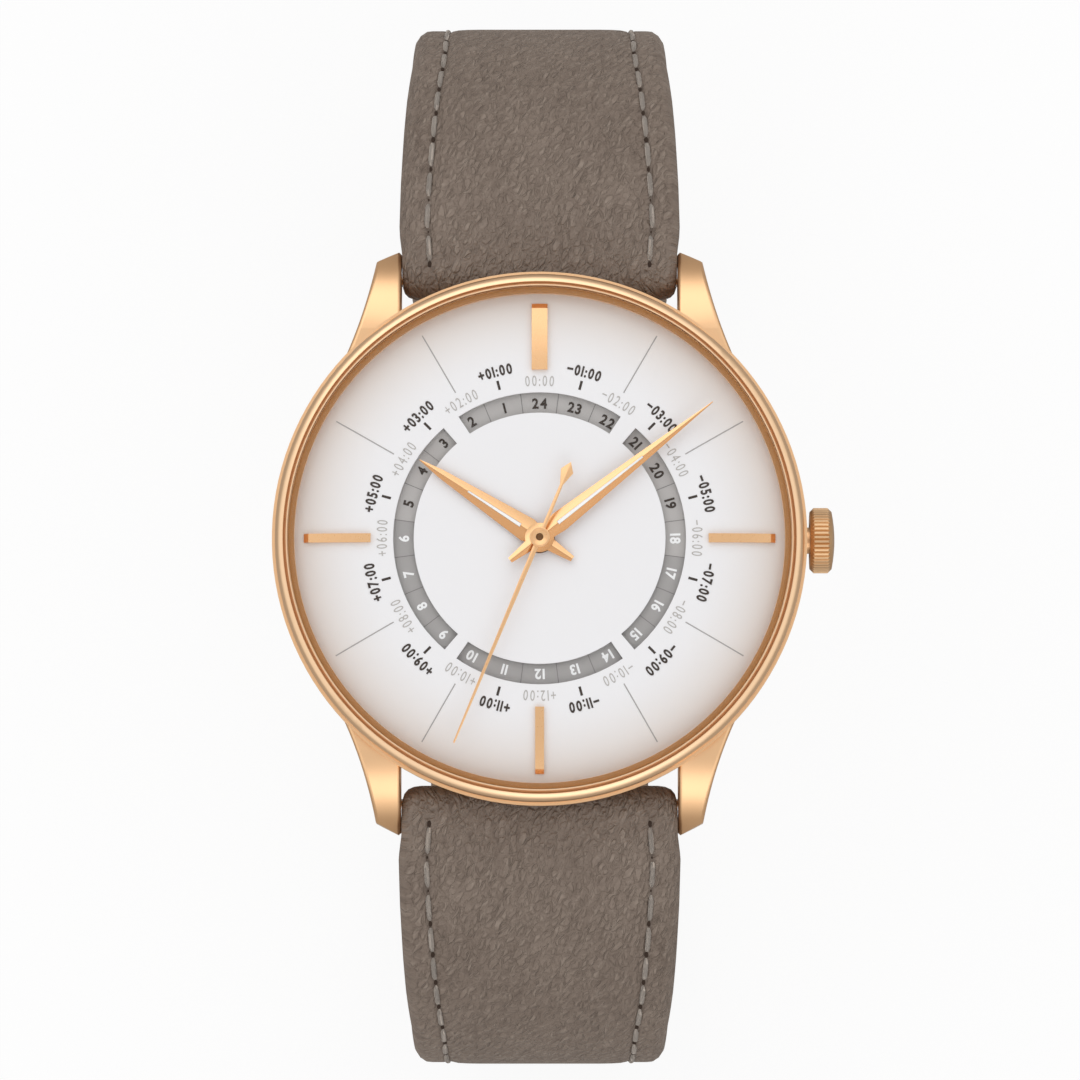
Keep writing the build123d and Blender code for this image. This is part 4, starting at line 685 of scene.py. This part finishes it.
# the crown: a darker copy of the case's rose gold, painted shade
crownShadedGold = polishedGold("crownShadedGold", tones["crownShadedGold"], 0.36)
buckleGold = polishedGold("buckleGold", tones["roseGold"], 0.16)
trimGold = brushedGold("trimGold", tones["trimGold"])
blackInk = printInk("blackInk", tones["printBlack"])
greyInk = printInk("greyInk", tones["printGrey"])
whiteInk = printInk("whiteInk", tones["printWhite"])
lineInk = printInk("lineInk", tones["hairline"])
dividerInk = printInk("dividerInk", tones["divider"])
leather = strapLeather("taupeCalf", tones["leather"], tones["leatherDark"], tones["leatherLight"], 0.00046)
lining = strapLeather("tanLining", tones["lining"], tones["liningDark"], tones["lining"], 0.0005)
edge = edgePaint()
thread = twistedThread()
needleHoleShade = moulded("needleHoleShade", tones["needleHoleShade"], 0.8)
steel = plainSteel("polishedSteel", tones["steel"], 0.16)


def centreOf(node):
    low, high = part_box(node)
    return tuple((low + high) / 2)


finishes = {
    "mid_case": caseGold, "bezel": bezelLitGold, "crown": crownShadedGold, "crown_tube": caseGold,
    "case_back_ring": turnedMetal("backRingGold", tones["roseGold"], (0, 0, 0), 0.16),
    "crystal": clearGlass("crystalGlass", crystalReach),
    "case_back_glass": clearGlass("backGlass", backGlassReach),
    "case_back_gasket": moulded("backGasketRubber", tones["rubber"], 0.6),
    "crown_gasket": moulded("crownGasketRubber", tones["rubber"], 0.6),
    "case_back_screws": plainSteel("screwSteel", tones["steel"], 0.2),
    "movement_ring": moulded("ringPlastic", tones["plastic"], 0.5),
    "dial": silveredDial(), "hour_disc_24": discPaint(), "hour_markers": trimGold,
    "main_plate": spottedNickel(), "barrel_bridge": stripedNickel("barrelBridgeNickel", 0.6),
    "train_bridge": stripedNickel("trainBridgeNickel", 0.6), "balance_cock": stripedNickel("cockNickel", 0.6),
    "pallet_bridge": turnedMetal("palletBridgeNickel", tones["nickel"], centreOf("pallet_bridge")),
    "jewels": rubyStone(), "movement_screws": plainSteel("bluedScrews", tones["blue"], 0.18),
    "hairspring": plainSteel("hairspringSteel", tones["blue"], 0.2),
    "rotor": stripedNickel("rotorNickel", -0.6), "buckle_frame": buckleGold, "buckle_tongue": buckleGold,
    "hour_hand": ridgedGold("hourHandGold", tones["trimGold"], handAngles["hour"], 1),
    "minute_hand": ridgedGold("minuteHandGold", tones["trimGold"], handAngles["minute"], -1),
    "hour_hand_inlay": moulded("lumePaint", tones["lume"], 0.6),
    "minute_hand_inlay": moulded("minuteLumePaint", tones["lume"], 0.6),
}
for node in ("rotor_bearing", "spring_bar_12", "spring_bar_6", "buckle_bar", "winding_pinion",
             "sliding_clutch", "stem", "mainspring", "pallet_fork", "click", "cannon_pinion", "barrel_arbor"):
    finishes[node] = steel
for wheel in ("barrel", "centre_wheel", "third_wheel", "fourth_wheel", "balance_wheel", "minute_wheel",
              "hour_wheel", "disc_drive_wheel"):
    finishes[wheel] = turnedMetal(wheel + "Gilt", tones["brass"], centreOf(wheel))
for wheel in ("ratchet_wheel", "crown_wheel", "escape_wheel"):
    finishes[wheel] = turnedMetal(wheel + "Steel", tones["steel"], centreOf(wheel), 0.14)
for node, finish in finishes.items():
    painted(cadNodes[node], finish)
print("finishes on", len(finishes), "nodes")


# Turned and cut metal of the scene: the gasket's ring and the seconds hand
gasketRing = {"inner": 18.52, "outer": 18.97, "low": 7.01, "high": 7.27, "round": 0.05, "steps": 180}


def turnedRing(name, size):
    # A rectangle drawn beside the axis and spun once round it
    nothingSelected()
    middle = ((size["inner"] + size["outer"]) / 2 * mm, 0, (size["low"] + size["high"]) / 2 * mm)
    bpy.ops.mesh.primitive_plane_add(size=1, location=middle, rotation=(pi / 2, 0, 0))
    ring = named(name)
    ring.scale = ((size["outer"] - size["inner"]) * mm, (size["high"] - size["low"]) * mm, 1)
    editAll(applied(ring))
    bpy.ops.mesh.bevel(offset=size["round"] * mm, segments=2, affect="VERTICES")
    bpy.ops.mesh.delete(type="ONLY_FACE")
    selectAll()
    bpy.ops.mesh.spin(steps=size["steps"], angle=2 * pi, center=(0, 0, 0), axis=(0, 0, 1),
                      use_auto_merge=True)
    selectAll()
    bpy.ops.mesh.remove_doubles(threshold=10 * near)
    return smoothed(outward(ring))


secondHand = {
    "low": 7.65, "thick": 0.11, "tip": 16.8, "hubHalf": 0.21, "tipHalf": 0.07, "soft": 0.03,
    "tail": 6.15, "tailFrom": 0.15, "tailHalf": 0.16, "kiteFrom": 4.3, "kiteMiddle": 5.4, "kiteHalf": 0.5,
    "kiteNeck": 0.12, "boss": 0.76, "bossHigh": 0.30, "bossSunk": 0.01, "dishRim": 0.20, "dishDeep": 0.07,
    "boreRim": 0.28, "boreDeep": 0.10, "shadeHalf": 0.32,
}


def handBlade(hand):
    # The outline is drawn, filled and raised
    outline = [(hand["tip"], hand["tipHalf"]), (0, hand["hubHalf"]), (-hand["tailFrom"], hand["tailHalf"]),
               (-hand["kiteFrom"], hand["kiteNeck"]), (-hand["kiteMiddle"], hand["kiteHalf"]),
               (-hand["tail"], 0)]
    outline += [(x, -y) for x, y in reversed(outline[:-1])]
    blade = emptyPiece("bladeModel")
    drawRow([(x * mm, y * mm, hand["low"] * mm) for x, y in outline])
    selectAll()
    bpy.ops.mesh.edge_face_add()
    selectAll()
    bpy.ops.mesh.extrude_region_move(TRANSFORM_OT_translate={"value": (0, 0, hand["thick"] * mm)})
    softEdges(outward(blade), hand["soft"], 2)
    return blade


def handBoss(hand, top):
    # A disc with a dish and a bore sunk into its top
    nothingSelected()
    middle = (0, 0, (hand["low"] + hand["bossHigh"] / 2 - hand["bossSunk"]) * mm)
    bpy.ops.mesh.primitive_cylinder_add(vertices=64, radius=hand["boss"] * mm, depth=hand["bossHigh"] * mm,
                                        location=middle)
    boss = applied(named("bossModel"))
    editChosen(boss, "FACE", lambda face: face.center.z > top - 10 * near)
    for rim, rise in ((hand["dishRim"], -hand["dishDeep"]), (hand["boreRim"], -hand["boreDeep"])):
        bpy.ops.mesh.inset(thickness=rim * mm)
        bpy.ops.mesh.extrude_region_move(TRANSFORM_OT_translate={"value": (0, 0, rise * mm)})
    softEdges(boss, hand["soft"], 2)
    return boss


def secondHandModel(hand):
    top = (hand["low"] + hand["bossHigh"] - hand["bossSunk"]) * mm
    blade, boss = handBlade(hand), handBoss(hand, top)
    gold = brushedGold("secondsHandGold", tones["trimGold"])
    painted(blade, gold)
    painted(boss, gold, plainSteel("secondsBoreShade", tones["bore"], 0.5))
    deep = top - (hand["dishDeep"] + hand["boreDeep"] / 3) * mm
    for face in boss.data.polygons:
        off = hypot(face.center.x, face.center.y)
        if face.center.z < deep and off < hand["shadeHalf"] * mm and face.normal.z > -0.5:
            face.material_index = 1
    for piece in (blade, boss):
        piece.matrix_world = Matrix.Rotation(radians(handAngles["second"]), 4, "Z")
        applied(piece)
    return smoothed(joined("secondsHand", [boss, blade]))


# Strap: each half is made straight, stitched, and then bent along its path
strap = {
    "widths": ((0, 20.94), (1.8, 20.94), (3.6, 21.36), (7.0, 21.2), (11.5, 20.8), (15.0, 20.4), (19.5, 19.7)),
    "endWidth": 18.0, "hingeThick": 3.8, "padThick": 4.2, "endThick": 2.4, "padAt": 8.0,
    "edgeDrop": (0.5, 0.75), "edgeFor": 4, "edgeReach": 1.05, "edgeCurve": 2.2,
    "padRise": 0.12, "padReach": 2.2, "grainSkew": 0.7, "liningUnder": -0.8, "edgeOver": 0.9,
    "seamFrom": 0.3, "seamInset": (2.0, 2.5), "seamFor": 18, "seamDepth": 0.2, "seamHalf": 0.34,
    "seamShares": (-1, -0.5, 0, 0.5, 1),
    "side": 0.45, "shoulder": (0.05, 0.16), "lip": 0.1, "lipReach": 0.3, "foot": ((0.14, 0.1), (0.5, 0)),
    "outerInsets": (0.06, 0.3, 0.75, 1.2), "innerInsets": (3.2, 3.9, 4.8, 5.8, 7.2, 8.6),
    "hinge": (20.4, 2.2), "barHole": 0.96, "boreLong": 30, "sectionStep": 1.6, "arcTurn": 30, "arcSteps": 24,
    "hingeShares": (0.995, 0.94, 0.82, 0.62, 0.34), "hingeCorners": (1.5, 0.95, 0.5, 0.2, 0.04),
}
shortHalf = {
    "name": "strapTop", "node": "strap_short", "body": "strap_12",
    "runs": ((8.0, 8, 22), (10.0, 22, 50), (12.0, 50, 92), (22.0, 92, 125), (21.418, 125, 125)),
    "thinAt": 52.0, "firstStitch": 1.65, "stitchEnd": 69.0, "side": 1,
    "loop": 1.3, "loopShares": (0.4, 0.7, 0.9, 0.99), "buckleBore": 0.71, "tongueSlot": (2.9, 9.2, 9.0),
}
longHalf = {
    "name": "strapTail", "node": "strap_long", "body": "strap_6",
    "runs": ((6.5, 8, 22), (9.0, 22, 50), (12.0, 50, 92), (20.0, 92, 92), (30.7178, 92, 180),
             (26.0, 180, 180)),
    "thinAt": 47.5, "firstStitch": 2.0, "stitchEnd": 98.0, "side": -1,
    "holeFirst": 50.0, "holePitch": 6.0, "holeCount": 7, "holeRadius": 0.85, "holeDeep": 9,
    "tipRadius": 12.0, "tipShares": (1, 0.72, 0.48, 0.28, 0.13, 0.04), "tipStitches": 5,
    "tipReachShare": 0.93,
}
stitch = {
    "pitch": 2.45, "length": 1.9, "width": 0.40, "height": 0.32, "lift": 0.13, "underLift": 0.03,
    "dipShare": 0.42, "bendShare": 0.3, "endShares": (0.78, 1, 0.5),
    "holeSize": (0.42, 0.504, 0.16), "holeLift": 0.015, "holesApart": 0.5,
}


def runsLength(half):
    return sum(length for length, start, end in half["runs"])


def blend(first, last, share):
    return first + (last - first) * min(max(share, 0), 1)


def halfWidthAt(half, along):
    table = strap["widths"] + ((half["thinAt"], strap["endWidth"]),)
    for (start, first), (end, last) in zip(table, table[1:]):
        if along < end:
            return blend(first, last, (along - start) / (end - start)) / 2
    return strap["endWidth"] / 2


def seamInsetAt(along):
    return blend(*strap["seamInset"], along / strap["seamFor"])


def halfThickAt(half, along):
    if along < strap["padAt"]:
        return blend(strap["hingeThick"], strap["padThick"], along / strap["padAt"]) / 2
    share = (along - strap["padAt"]) / (half["thinAt"] - strap["padAt"])
    return blend(strap["padThick"], strap["endThick"], share) / 2


def topHeight(half, along, inset):
    # Height of the outer face over the centre line, at a distance in from the edge
    thick = halfThickAt(half, along)
    rounded = 1 - min(inset / strap["edgeReach"], 1)
    padded = min(max((inset - seamInsetAt(along)) / strap["padReach"], 0), 1)
    drop = min(blend(*strap["edgeDrop"], along / strap["edgeFor"]), thick / 2)
    height = thick - strap["padRise"] * (1 - padded) ** 2 - drop * rounded ** strap["edgeCurve"]
    return height - strap["seamDepth"] * seamShare(inset, along)


def seamShare(inset, along):
    # 1 in the middle of the pressed channel that the stitches lie in, 0 beside it
    return max(0, 1 - abs(inset - seamInsetAt(along)) / strap["seamHalf"])


def sectionRing(half, along, width=None, flatten=1.0, at=None):
    # One ring round the strap, from the outer face's right edge over the top and back below
    halfWidth = halfWidthAt(half, along) if width is None else width
    thick = halfThickAt(half, along)
    seam = seamInsetAt(along)
    lip = strap["lip"]
    insets = [seam + share * strap["seamHalf"] - lip for share in strap["seamShares"]]
    scale = halfWidth / halfWidthAt(half, along)
    edgeTop = topHeight(half, along, 0)
    inward, down = strap["shoulder"]
    right = [(halfWidth, -thick + strap["side"]), (halfWidth, edgeTop - strap["side"])]
    right.append((halfWidth - inward * scale, edgeTop - down))
    for inset in (*strap["outerInsets"], *insets, *strap["innerInsets"]):
        drop = lip * max(0, 1 - inset / strap["lipReach"])
        right.append((halfWidth - (inset + lip) * scale, topHeight(half, along, inset) - drop))
    outer = right + [(-x, z) for x, z in reversed(right)]
    below = [(halfWidth - inward * scale, up - thick) for inward, up in strap["foot"]]
    under = [(-x, z) for x, z in below] + [(0, -thick)] + below[::-1]
    y = along if at is None else at
    return [(x * mm, y * mm, z * flatten * mm) for x, z in outer + under]


def strapRings(half):
    # Rings along one half, round over the hinge at its start and shaped at its end
    total = runsLength(half)
    hingeHalf = halfWidthAt(half, 0)
    rings = [sectionRing(half, 0, hingeHalf - corner, sqrt(1 - share**2), -share * strap["hingeThick"] / 2)
             for share, corner in zip(strap["hingeShares"], strap["hingeCorners"])]
    places = [along for along, width in strap["widths"]] + [half["thinAt"]]
    rings += [sectionRing(half, place) for place in places]
    cuts = [0] * len(strap["hingeShares"])
    cuts += [int((last - first) / strap["sectionStep"]) for first, last in zip(places, places[1:])]
    if "tipRadius" in half:
        tip, wide = half["tipRadius"], strap["endWidth"] / 2
        corner = tip - sqrt(tip**2 - wide**2)
        for share in half["tipShares"]:
            left = share * corner
            width = min(wide, sqrt(tip**2 - (tip - left) ** 2))
            rings.append(sectionRing(half, total, width, at=total - left))
        cuts.append(int((total - corner - half["thinAt"]) / strap["sectionStep"]))
        cuts += [0] * (len(half["tipShares"]) - 1)
    else:
        rings.append(sectionRing(half, total))
        cuts.append(int((total - half["thinAt"]) / strap["sectionStep"]))
        rings += [sectionRing(half, total, flatten=sqrt(1 - share**2), at=total + share * half["loop"])
                  for share in half["loopShares"]]
        cuts += [0] * len(half["loopShares"])
    return rings, cuts


def bored(piece, along, radius, depth, turn=(0, pi / 2, 0)):
    # A round hole through the straight strap, across it unless it is turned
    nothingSelected()
    bpy.ops.mesh.primitive_cylinder_add(vertices=40, radius=radius * mm, depth=depth * mm,
                                        location=(0, along * mm, 0), rotation=turn)
    cutOut(piece, named("drill"))


def slotted(piece, along, size):
    # The gap in the end's loop that the buckle's tongue moves in
    nothingSelected()
    bpy.ops.mesh.primitive_cube_add(size=1, location=(0, along * mm, 0), scale=[s * mm for s in size])
    cutOut(piece, named("slotBlock"))


def strapFaces(piece, half=None):
    # Flat coordinates for the grain; leather, lining and edge paint by the way a face looks; and the
    #  pressed channel, where the leather gets painted shade
    onlySelected(painted(piece, leather, lining, edge))
    if not piece.data.uv_layers:
        bpy.ops.mesh.uv_texture_add()
    layer = piece.data.uv_layers.active.data
    for corner in piece.data.loops:
        spot = piece.data.vertices[corner.vertex_index].co
        layer[corner.index].uv = (spot.x + spot.z * strap["grainSkew"], spot.y)
    for face in piece.data.polygons:
        across, along, up = face.normal
        if up < strap["liningUnder"]:
            face.material_index = 1
        elif abs(across) > strap["edgeOver"] or abs(along) > strap["edgeOver"] and face.center.y > 0:
            face.material_index = 2
        else:
            face.material_index = 0
    channel = piece.data.attributes.new("seamChannel", "FLOAT", "POINT")
    if half:
        for vertex, value in zip(piece.data.vertices, channel.data):
            across, along, height = abs(vertex.co.x) / mm, vertex.co.y / mm, vertex.co.z / mm
            onTop = height > 0 and strap["seamFrom"] < along < half["stitchEnd"]
            value.value = seamShare(halfWidthAt(half, along) - across, along) if onTop else 0


def strapPath(half):
    # The centre line as a curve: every bend is split into short arcs with matching handles
    knots, heights = [], []
    y, z = strap["hinge"]
    arcs = []
    for length, start, end in half["runs"]:
        pieces = max(1, int(abs(end - start) / strap["arcTurn"]) + 1)
        for i in range(pieces):
            arcs.append((length / pieces, blend(start, end, i / pieces), blend(start, end, (i + 1) / pieces)))
    for length, start, end in arcs:
        knots.append((y, z, start))
        turn = radians(end - start)
        if abs(turn) < 1e-6:
            heights.append(length / 3)
            y += length * cos(radians(start))
            z -= length * sin(radians(start))
        else:
            bend = length / turn
            heights.append(4 / 3 * tan(turn / 4) * bend)
            y += bend * (sin(radians(end)) - sin(radians(start)))
            z -= bend * (cos(radians(start)) - cos(radians(end)))
    knots.append((y, z, arcs[-1][2]))
    nothingSelected()
    bpy.ops.curve.primitive_bezier_curve_add()
    path = named(half["name"] + "Path")
    path.data.resolution_u = strap["arcSteps"]
    path.data.twist_mode = "MINIMUM"
    spline = path.data.splines[0]
    spline.bezier_points.add(len(knots) - 2)
    for i, (y, z, heading) in enumerate(knots):
        point = spline.bezier_points[i]
        ahead = Vector((0, cos(radians(heading)), -sin(radians(heading)))) * mm
        point.handle_left_type = point.handle_right_type = "FREE"
        point.co = Vector((0, y, z)) * mm
        point.handle_left = point.co - ahead * heights[max(i - 1, 0)]
        point.handle_right = point.co + ahead * heights[min(i, len(heights) - 1)]
    path.location = (0, 0, 0)
    return path


def bentAlong(piece, path, side):
    # The path's frame has its first axis outwards, so the straight piece is turned a quarter first
    piece.matrix_world = Matrix.Rotation(pi / 2, 4, "Y") @ piece.matrix_world
    applied(piece)
    withModifier(piece, "CURVE", object=path, deform_axis="POS_Y")
    if side < 0:
        piece.matrix_world = Matrix.Rotation(pi, 4, "Z")
        applied(piece)
    return piece


def stitchModel():
    # One stitch: a short round strand whose ends dip into their holes
    nothingSelected()
    bpy.ops.mesh.primitive_cylinder_add(vertices=8, radius=0.5 * mm, depth=1 * mm, rotation=(pi / 2, 0, 0))
    model = applied(named("stitchModel"))
    for side in (1, -1):
        editAll(model)
        bpy.ops.mesh.bisect(plane_co=(0, side * stitch["bendShare"] * mm, 0), plane_no=(0, 1, 0))
    editVertices(model, lambda co: abs(co.y) > 0.5 * mm - near)
    bpy.ops.transform.resize(value=stitch["endShares"], center_override=(0, 0, 0))
    bpy.ops.transform.translate(value=(0, 0, -stitch["dipShare"] * mm))
    setMode("OBJECT")
    model.data.transform(Matrix.Diagonal((stitch["width"], stitch["length"], stitch["height"], 1)))
    return smoothed(painted(model, thread), 60)


def holeModel():
    # One needle hole: a small ball in painted shade for the hole's darkness, flattened and sunk into the
    # leather
    nothingSelected()
    bpy.ops.mesh.primitive_uv_sphere_add(segments=8, ring_count=5, radius=0.5 * mm)
    model = painted(named("holeModel"), needleHoleShade)
    model.data.transform(Matrix.Diagonal((*stitch["holeSize"], 1)))
    return smoothed(model, 60)


def seamPlaces(half):
    # Middles of the stitches on both rows, with their slant in plan, then round the tail's tip
    places = []
    along = half["firstStitch"]
    while along < half["stitchEnd"]:
        for sign in (1, -1):
            across = halfWidthAt(half, along) - seamInsetAt(along)
            later = halfWidthAt(half, along + 1) - seamInsetAt(along + 1)
            places.append((sign * across, along, sign * (across - later)))
        along += stitch["pitch"]
    if "tipRadius" in half:
        tip = half["tipRadius"]
        inner = tip - strap["seamInset"][1]
        reach = (strap["endWidth"] / 2 - strap["seamInset"][1]) / inner * half["tipReachShare"]
        for i in range(half["tipStitches"]):
            turn = ((i + 0.5) / half["tipStitches"] * 2 - 1) * reach
            places.append((inner * sin(turn), runsLength(half) - tip + inner * cos(turn), pi / 2 + turn))
    return places


def sewn(half):
    # Stitches and needle holes, dark balls of painted shade, on the outer face, and stitches on the lining
    strand, hole = stitchModel(), holeModel()
    pieces, spots = [], []
    for across, along, slant in seamPlaces(half):
        level = topHeight(half, min(along, runsLength(half)), seamInsetAt(along))
        turn = Matrix.Rotation(slant, 4, "Z")
        spot = Vector((across, along, level + stitch["lift"]))
        pieces.append(copied(strand, Matrix.Translation(spot * mm) @ turn))
        spot.z = -halfThickAt(half, along) - stitch["underLift"]
        pieces.append(copied(strand, Matrix.Translation(spot * mm) @ turn @ Matrix.Rotation(pi, 4, "Y")))
        ahead = turn @ Vector((0, stitch["pitch"] / 2, 0))
        for end in (1, -1):
            spot = Vector((across, along, level + stitch["holeLift"])) + end * ahead
            if all((spot - other).length > stitch["holesApart"] for other in spots):
                spots.append(spot)
                pieces.append(copied(hole, Matrix.Translation(spot * mm) @ turn))
    removed(strand)
    removed(hole)
    return joined(half["name"] + "Stitches", pieces)


def strapHalf(half):
    body = loft(half["name"], *strapRings(half))
    bored(body, 0, strap["barHole"], strap["boreLong"])
    if "holeCount" in half:
        for i in range(half["holeCount"]):
            along = half["holeFirst"] + i * half["holePitch"]
            bored(body, along, half["holeRadius"], half["holeDeep"], (0, 0, 0))
    else:
        bored(body, runsLength(half), half["buckleBore"], strap["boreLong"])
        slotted(body, runsLength(half), half["tongueSlot"])
    strapFaces(body, half)
    stitches = sewn(half)
    path = strapPath(half)
    for piece in (body, stitches):
        bentAlong(piece, path, half["side"])
        smoothed(piece, 50)
        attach(piece, half["body"])
    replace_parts(body, half["node"])
    return path


ring = painted(turnedRing("crystalSealRing", gasketRing), tintedNylon())
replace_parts(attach(ring, "case"), "crystal_gasket")
hand = secondHandModel(secondHand)
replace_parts(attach(hand, "seconds"), "second_hand")
print("seal ring and seconds hand done")
topPath = strapHalf(shortHalf)
print("upper strap half done")
tailPath = strapHalf(longHalf)
print("lower strap half done")


# Keepers: a loop of folded leather, one fixed beside the buckle and one that slides
keeper = {
    "width": 5.0, "thick": 1.2, "room": 2.7, "sideGap": 0.3, "seatGap": 0.06, "corner": 0.9, "soft": 0.28,
    "fixedFromEnd": 6.5, "slidingFromEnd": 12.1,
}


def keeperLoop(name, node, body, fromEnd):
    halfIn = strap["endWidth"] / 2 + keeper["sideGap"]
    low = -(strap["endThick"] / 2 + keeper["seatGap"])
    high = low + strap["endThick"] + keeper["seatGap"] + keeper["room"]
    middle = runsLength(shortHalf) - fromEnd - keeper["width"] / 2
    thick = keeper["thick"]
    nothingSelected()
    bpy.ops.mesh.primitive_cube_add(size=1)
    loop = named(name)
    # one closed band: the cube's end faces go, its walls get their thickness and rounded edges
    editChosen(loop, "FACE", lambda face: abs(face.normal.y) > 0.9)
    bpy.ops.mesh.delete(type="FACE")
    setMode("OBJECT")
    size = Matrix.Diagonal((2 * (halfIn + thick / 2), keeper["width"], high - low + thick, 1))
    loop.data.transform(Matrix.Scale(mm, 4) @ Matrix.Translation((0, 0, (high + low) / 2)) @ size)

    def lengthwise(line):
        first, last = (loop.data.vertices[end].co for end in line.vertices)
        return abs(first.y - last.y) > mm

    editChosen(loop, "EDGE", lengthwise)
    bpy.ops.mesh.bevel(offset=keeper["corner"] * mm, segments=5)
    setMode("OBJECT")
    withModifier(outward(loop), "SOLIDIFY", thickness=thick * mm, offset=0)
    softEdges(loop, keeper["soft"], 3)
    loop.data.transform(Matrix.Translation((0, middle * mm, 0)))
    strapFaces(loop)
    for face in loop.data.polygons:
        face.material_index = 0
    smoothed(bentAlong(loop, topPath, 1), 50)
    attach(loop, body)
    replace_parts(loop, node)


keeperLoop("fixedKeeper", "fixed_keeper", "strap_12", keeper["fixedFromEnd"])
keeperLoop("slidingKeeper", "free_keeper", "keeper", keeper["slidingFromEnd"])
removed(topPath)
removed(tailPath)
print("keepers done")


# Printing: each glyph is made once and copied along its ring
printing = {"film": 0.02, "lift": 0.004, "slabHalf": 0.01, "capital": 0.729, "mergeUnder": 0.0005}
outerZones = {"radius": 12.66, "height": 0.79, "squeeze": 0.76, "weight": 0.034, "gap": 0.11}
innerZones = {"radius": 11.52, "height": 0.84, "squeeze": 0.66, "weight": 0.0, "gap": 0.17}
discHours = {"radius": 9.88, "height": 0.77, "squeeze": 0.92, "weight": 0.036, "gap": 0.10}
glyphs = {}


def glyphModel(letter, style, ink):
    # One glyph as a thin closed slab, its foot on the line and centred over it
    key = (letter, style["height"], ink.name)
    if key in glyphs:
        return glyphs[key]
    nothingSelected()
    bpy.ops.object.text_add()
    text = bpy.context.object.data
    text.body, text.align_x, text.size = letter, "CENTER", 1.0
    text.offset, text.extrude, text.resolution_u = style["weight"], printing["slabHalf"], 3
    bpy.ops.object.convert(target="MESH")
    model = painted(named("glyphModel"), ink)
    editAll(model)
    bpy.ops.mesh.remove_doubles(threshold=printing["mergeUnder"])
    setMode("OBJECT")
    size = style["height"] / printing["capital"] * mm      # from a capital's height in the font at size 1
    film = printing["film"] / (2 * printing["slabHalf"]) * mm
    model.data.transform(Matrix.Diagonal((size * style["squeeze"], size, film, 1)))
    xs = [vertex.co.x for vertex in model.data.vertices]
    model.data.transform(Matrix.Translation((-(max(xs) + min(xs)) / 2, 0, 0)))
    glyphs[key] = (model, max(xs) - min(xs))
    return glyphs[key]


def printedRow(name, rows, style, top, body):
    # Rows are (text, angle, ink); text runs clockwise with its foot towards the centre
    pieces = []
    for text, angle, ink in rows:
        models = [glyphModel(letter, style, ink) for letter in text]
        gap = style["gap"] * mm
        run = -(sum(width for model, width in models) + gap * (len(models) - 1)) / 2
        for model, width in models:
            turn = radians(angle) - (run + width / 2) / (style["radius"] * mm)
            spot = Matrix.Rotation(turn - pi / 2, 4, "Z")
            level = top + (printing["lift"] + printing["film"] / 2) * mm
            lift = Matrix.Translation((0, style["radius"] * mm, level))
            pieces.append(copied(model, spot @ lift))
            run += width + gap
    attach(joined(name, pieces), body)


def zoneText(hours):
    if hours == 0:
        return "00:00"
    return ("+" if hours > 0 else "−") + "%02d:00" % abs(hours)


def zoneRows(odd, ink):
    # Zones rise anticlockwise from 12 o'clock
    return [(zoneText(hours), 90 + hourTurn * hours, ink) for hours in range(-11, 13) if hours % 2 == odd]


printedRow("zoneNumbersOuter", zoneRows(1, blackInk), outerZones, dialTop, "case")
printedRow("zoneNumbersInner", zoneRows(0, greyInk), innerZones, dialTop, "case")
hourRows = [(str(hour), 90 + hourTurn * hour, whiteInk if 6 <= hour <= 18 else blackInk)
            for hour in range(1, 25)]
printedRow("discHourNumbers", hourRows, discHours, discTop, "disc")
for model, width in glyphs.values():
    removed(model)
print("numbers printed")


# Fine lines: ticks under the outer zones, hairlines at the hours, dividers on the disc
lines = {
    "tick": (11.62, 12.32, 0.19), "hairline": (12.7, 17.75, 0.09), "divider": (9.4, 11.2, 0.05),
    "film": 0.012,
}


def radialLines(name, angles, line, ink, top, body, onDial=False):
    # Flat strips from the first radius to the second, laid on the dial's dome where it matters
    start, end, width = line
    nothingSelected()
    bpy.ops.mesh.primitive_grid_add(x_subdivisions=16, y_subdivisions=1, size=1)
    model = painted(named("lineModel"), ink)
    size = Matrix.Diagonal(((end - start) * mm, width * mm, 1, 1))
    model.data.transform(Matrix.Translation(((start + end) / 2 * mm, 0, top + printing["lift"] * mm)) @ size)
    pieces = [copied(model, Matrix.Rotation(radians(angle), 4, "Z")) for angle in angles]
    removed(model)
    row = joined(name, pieces)
    if onDial:
        withModifier(row, "SHRINKWRAP", target=cadNodes["dial"], wrap_method="PROJECT", use_project_z=True,
                     use_negative_direction=True, use_positive_direction=False, offset=printing["lift"] * mm)
    withModifier(row, "SOLIDIFY", thickness=lines["film"] * mm, offset=1)
    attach(row, body)


oddAngles = [hourTurn * (2 * i + 1) for i in range(12)]
radialLines("zoneTicks", oddAngles, lines["tick"], blackInk, dialTop, "case")
hairAngles = [2 * hourTurn * i for i in range(12) if i % 3]
radialLines("hairlines", hairAngles, lines["hairline"], lineInk, dialTop, "case", onDial=True)
dividerAngles = [hourTurn * (i + 0.5) for i in range(24)]
radialLines("discDividers", dividerAngles, lines["divider"], dividerInk, discTop, "disc")
print("lines printed")
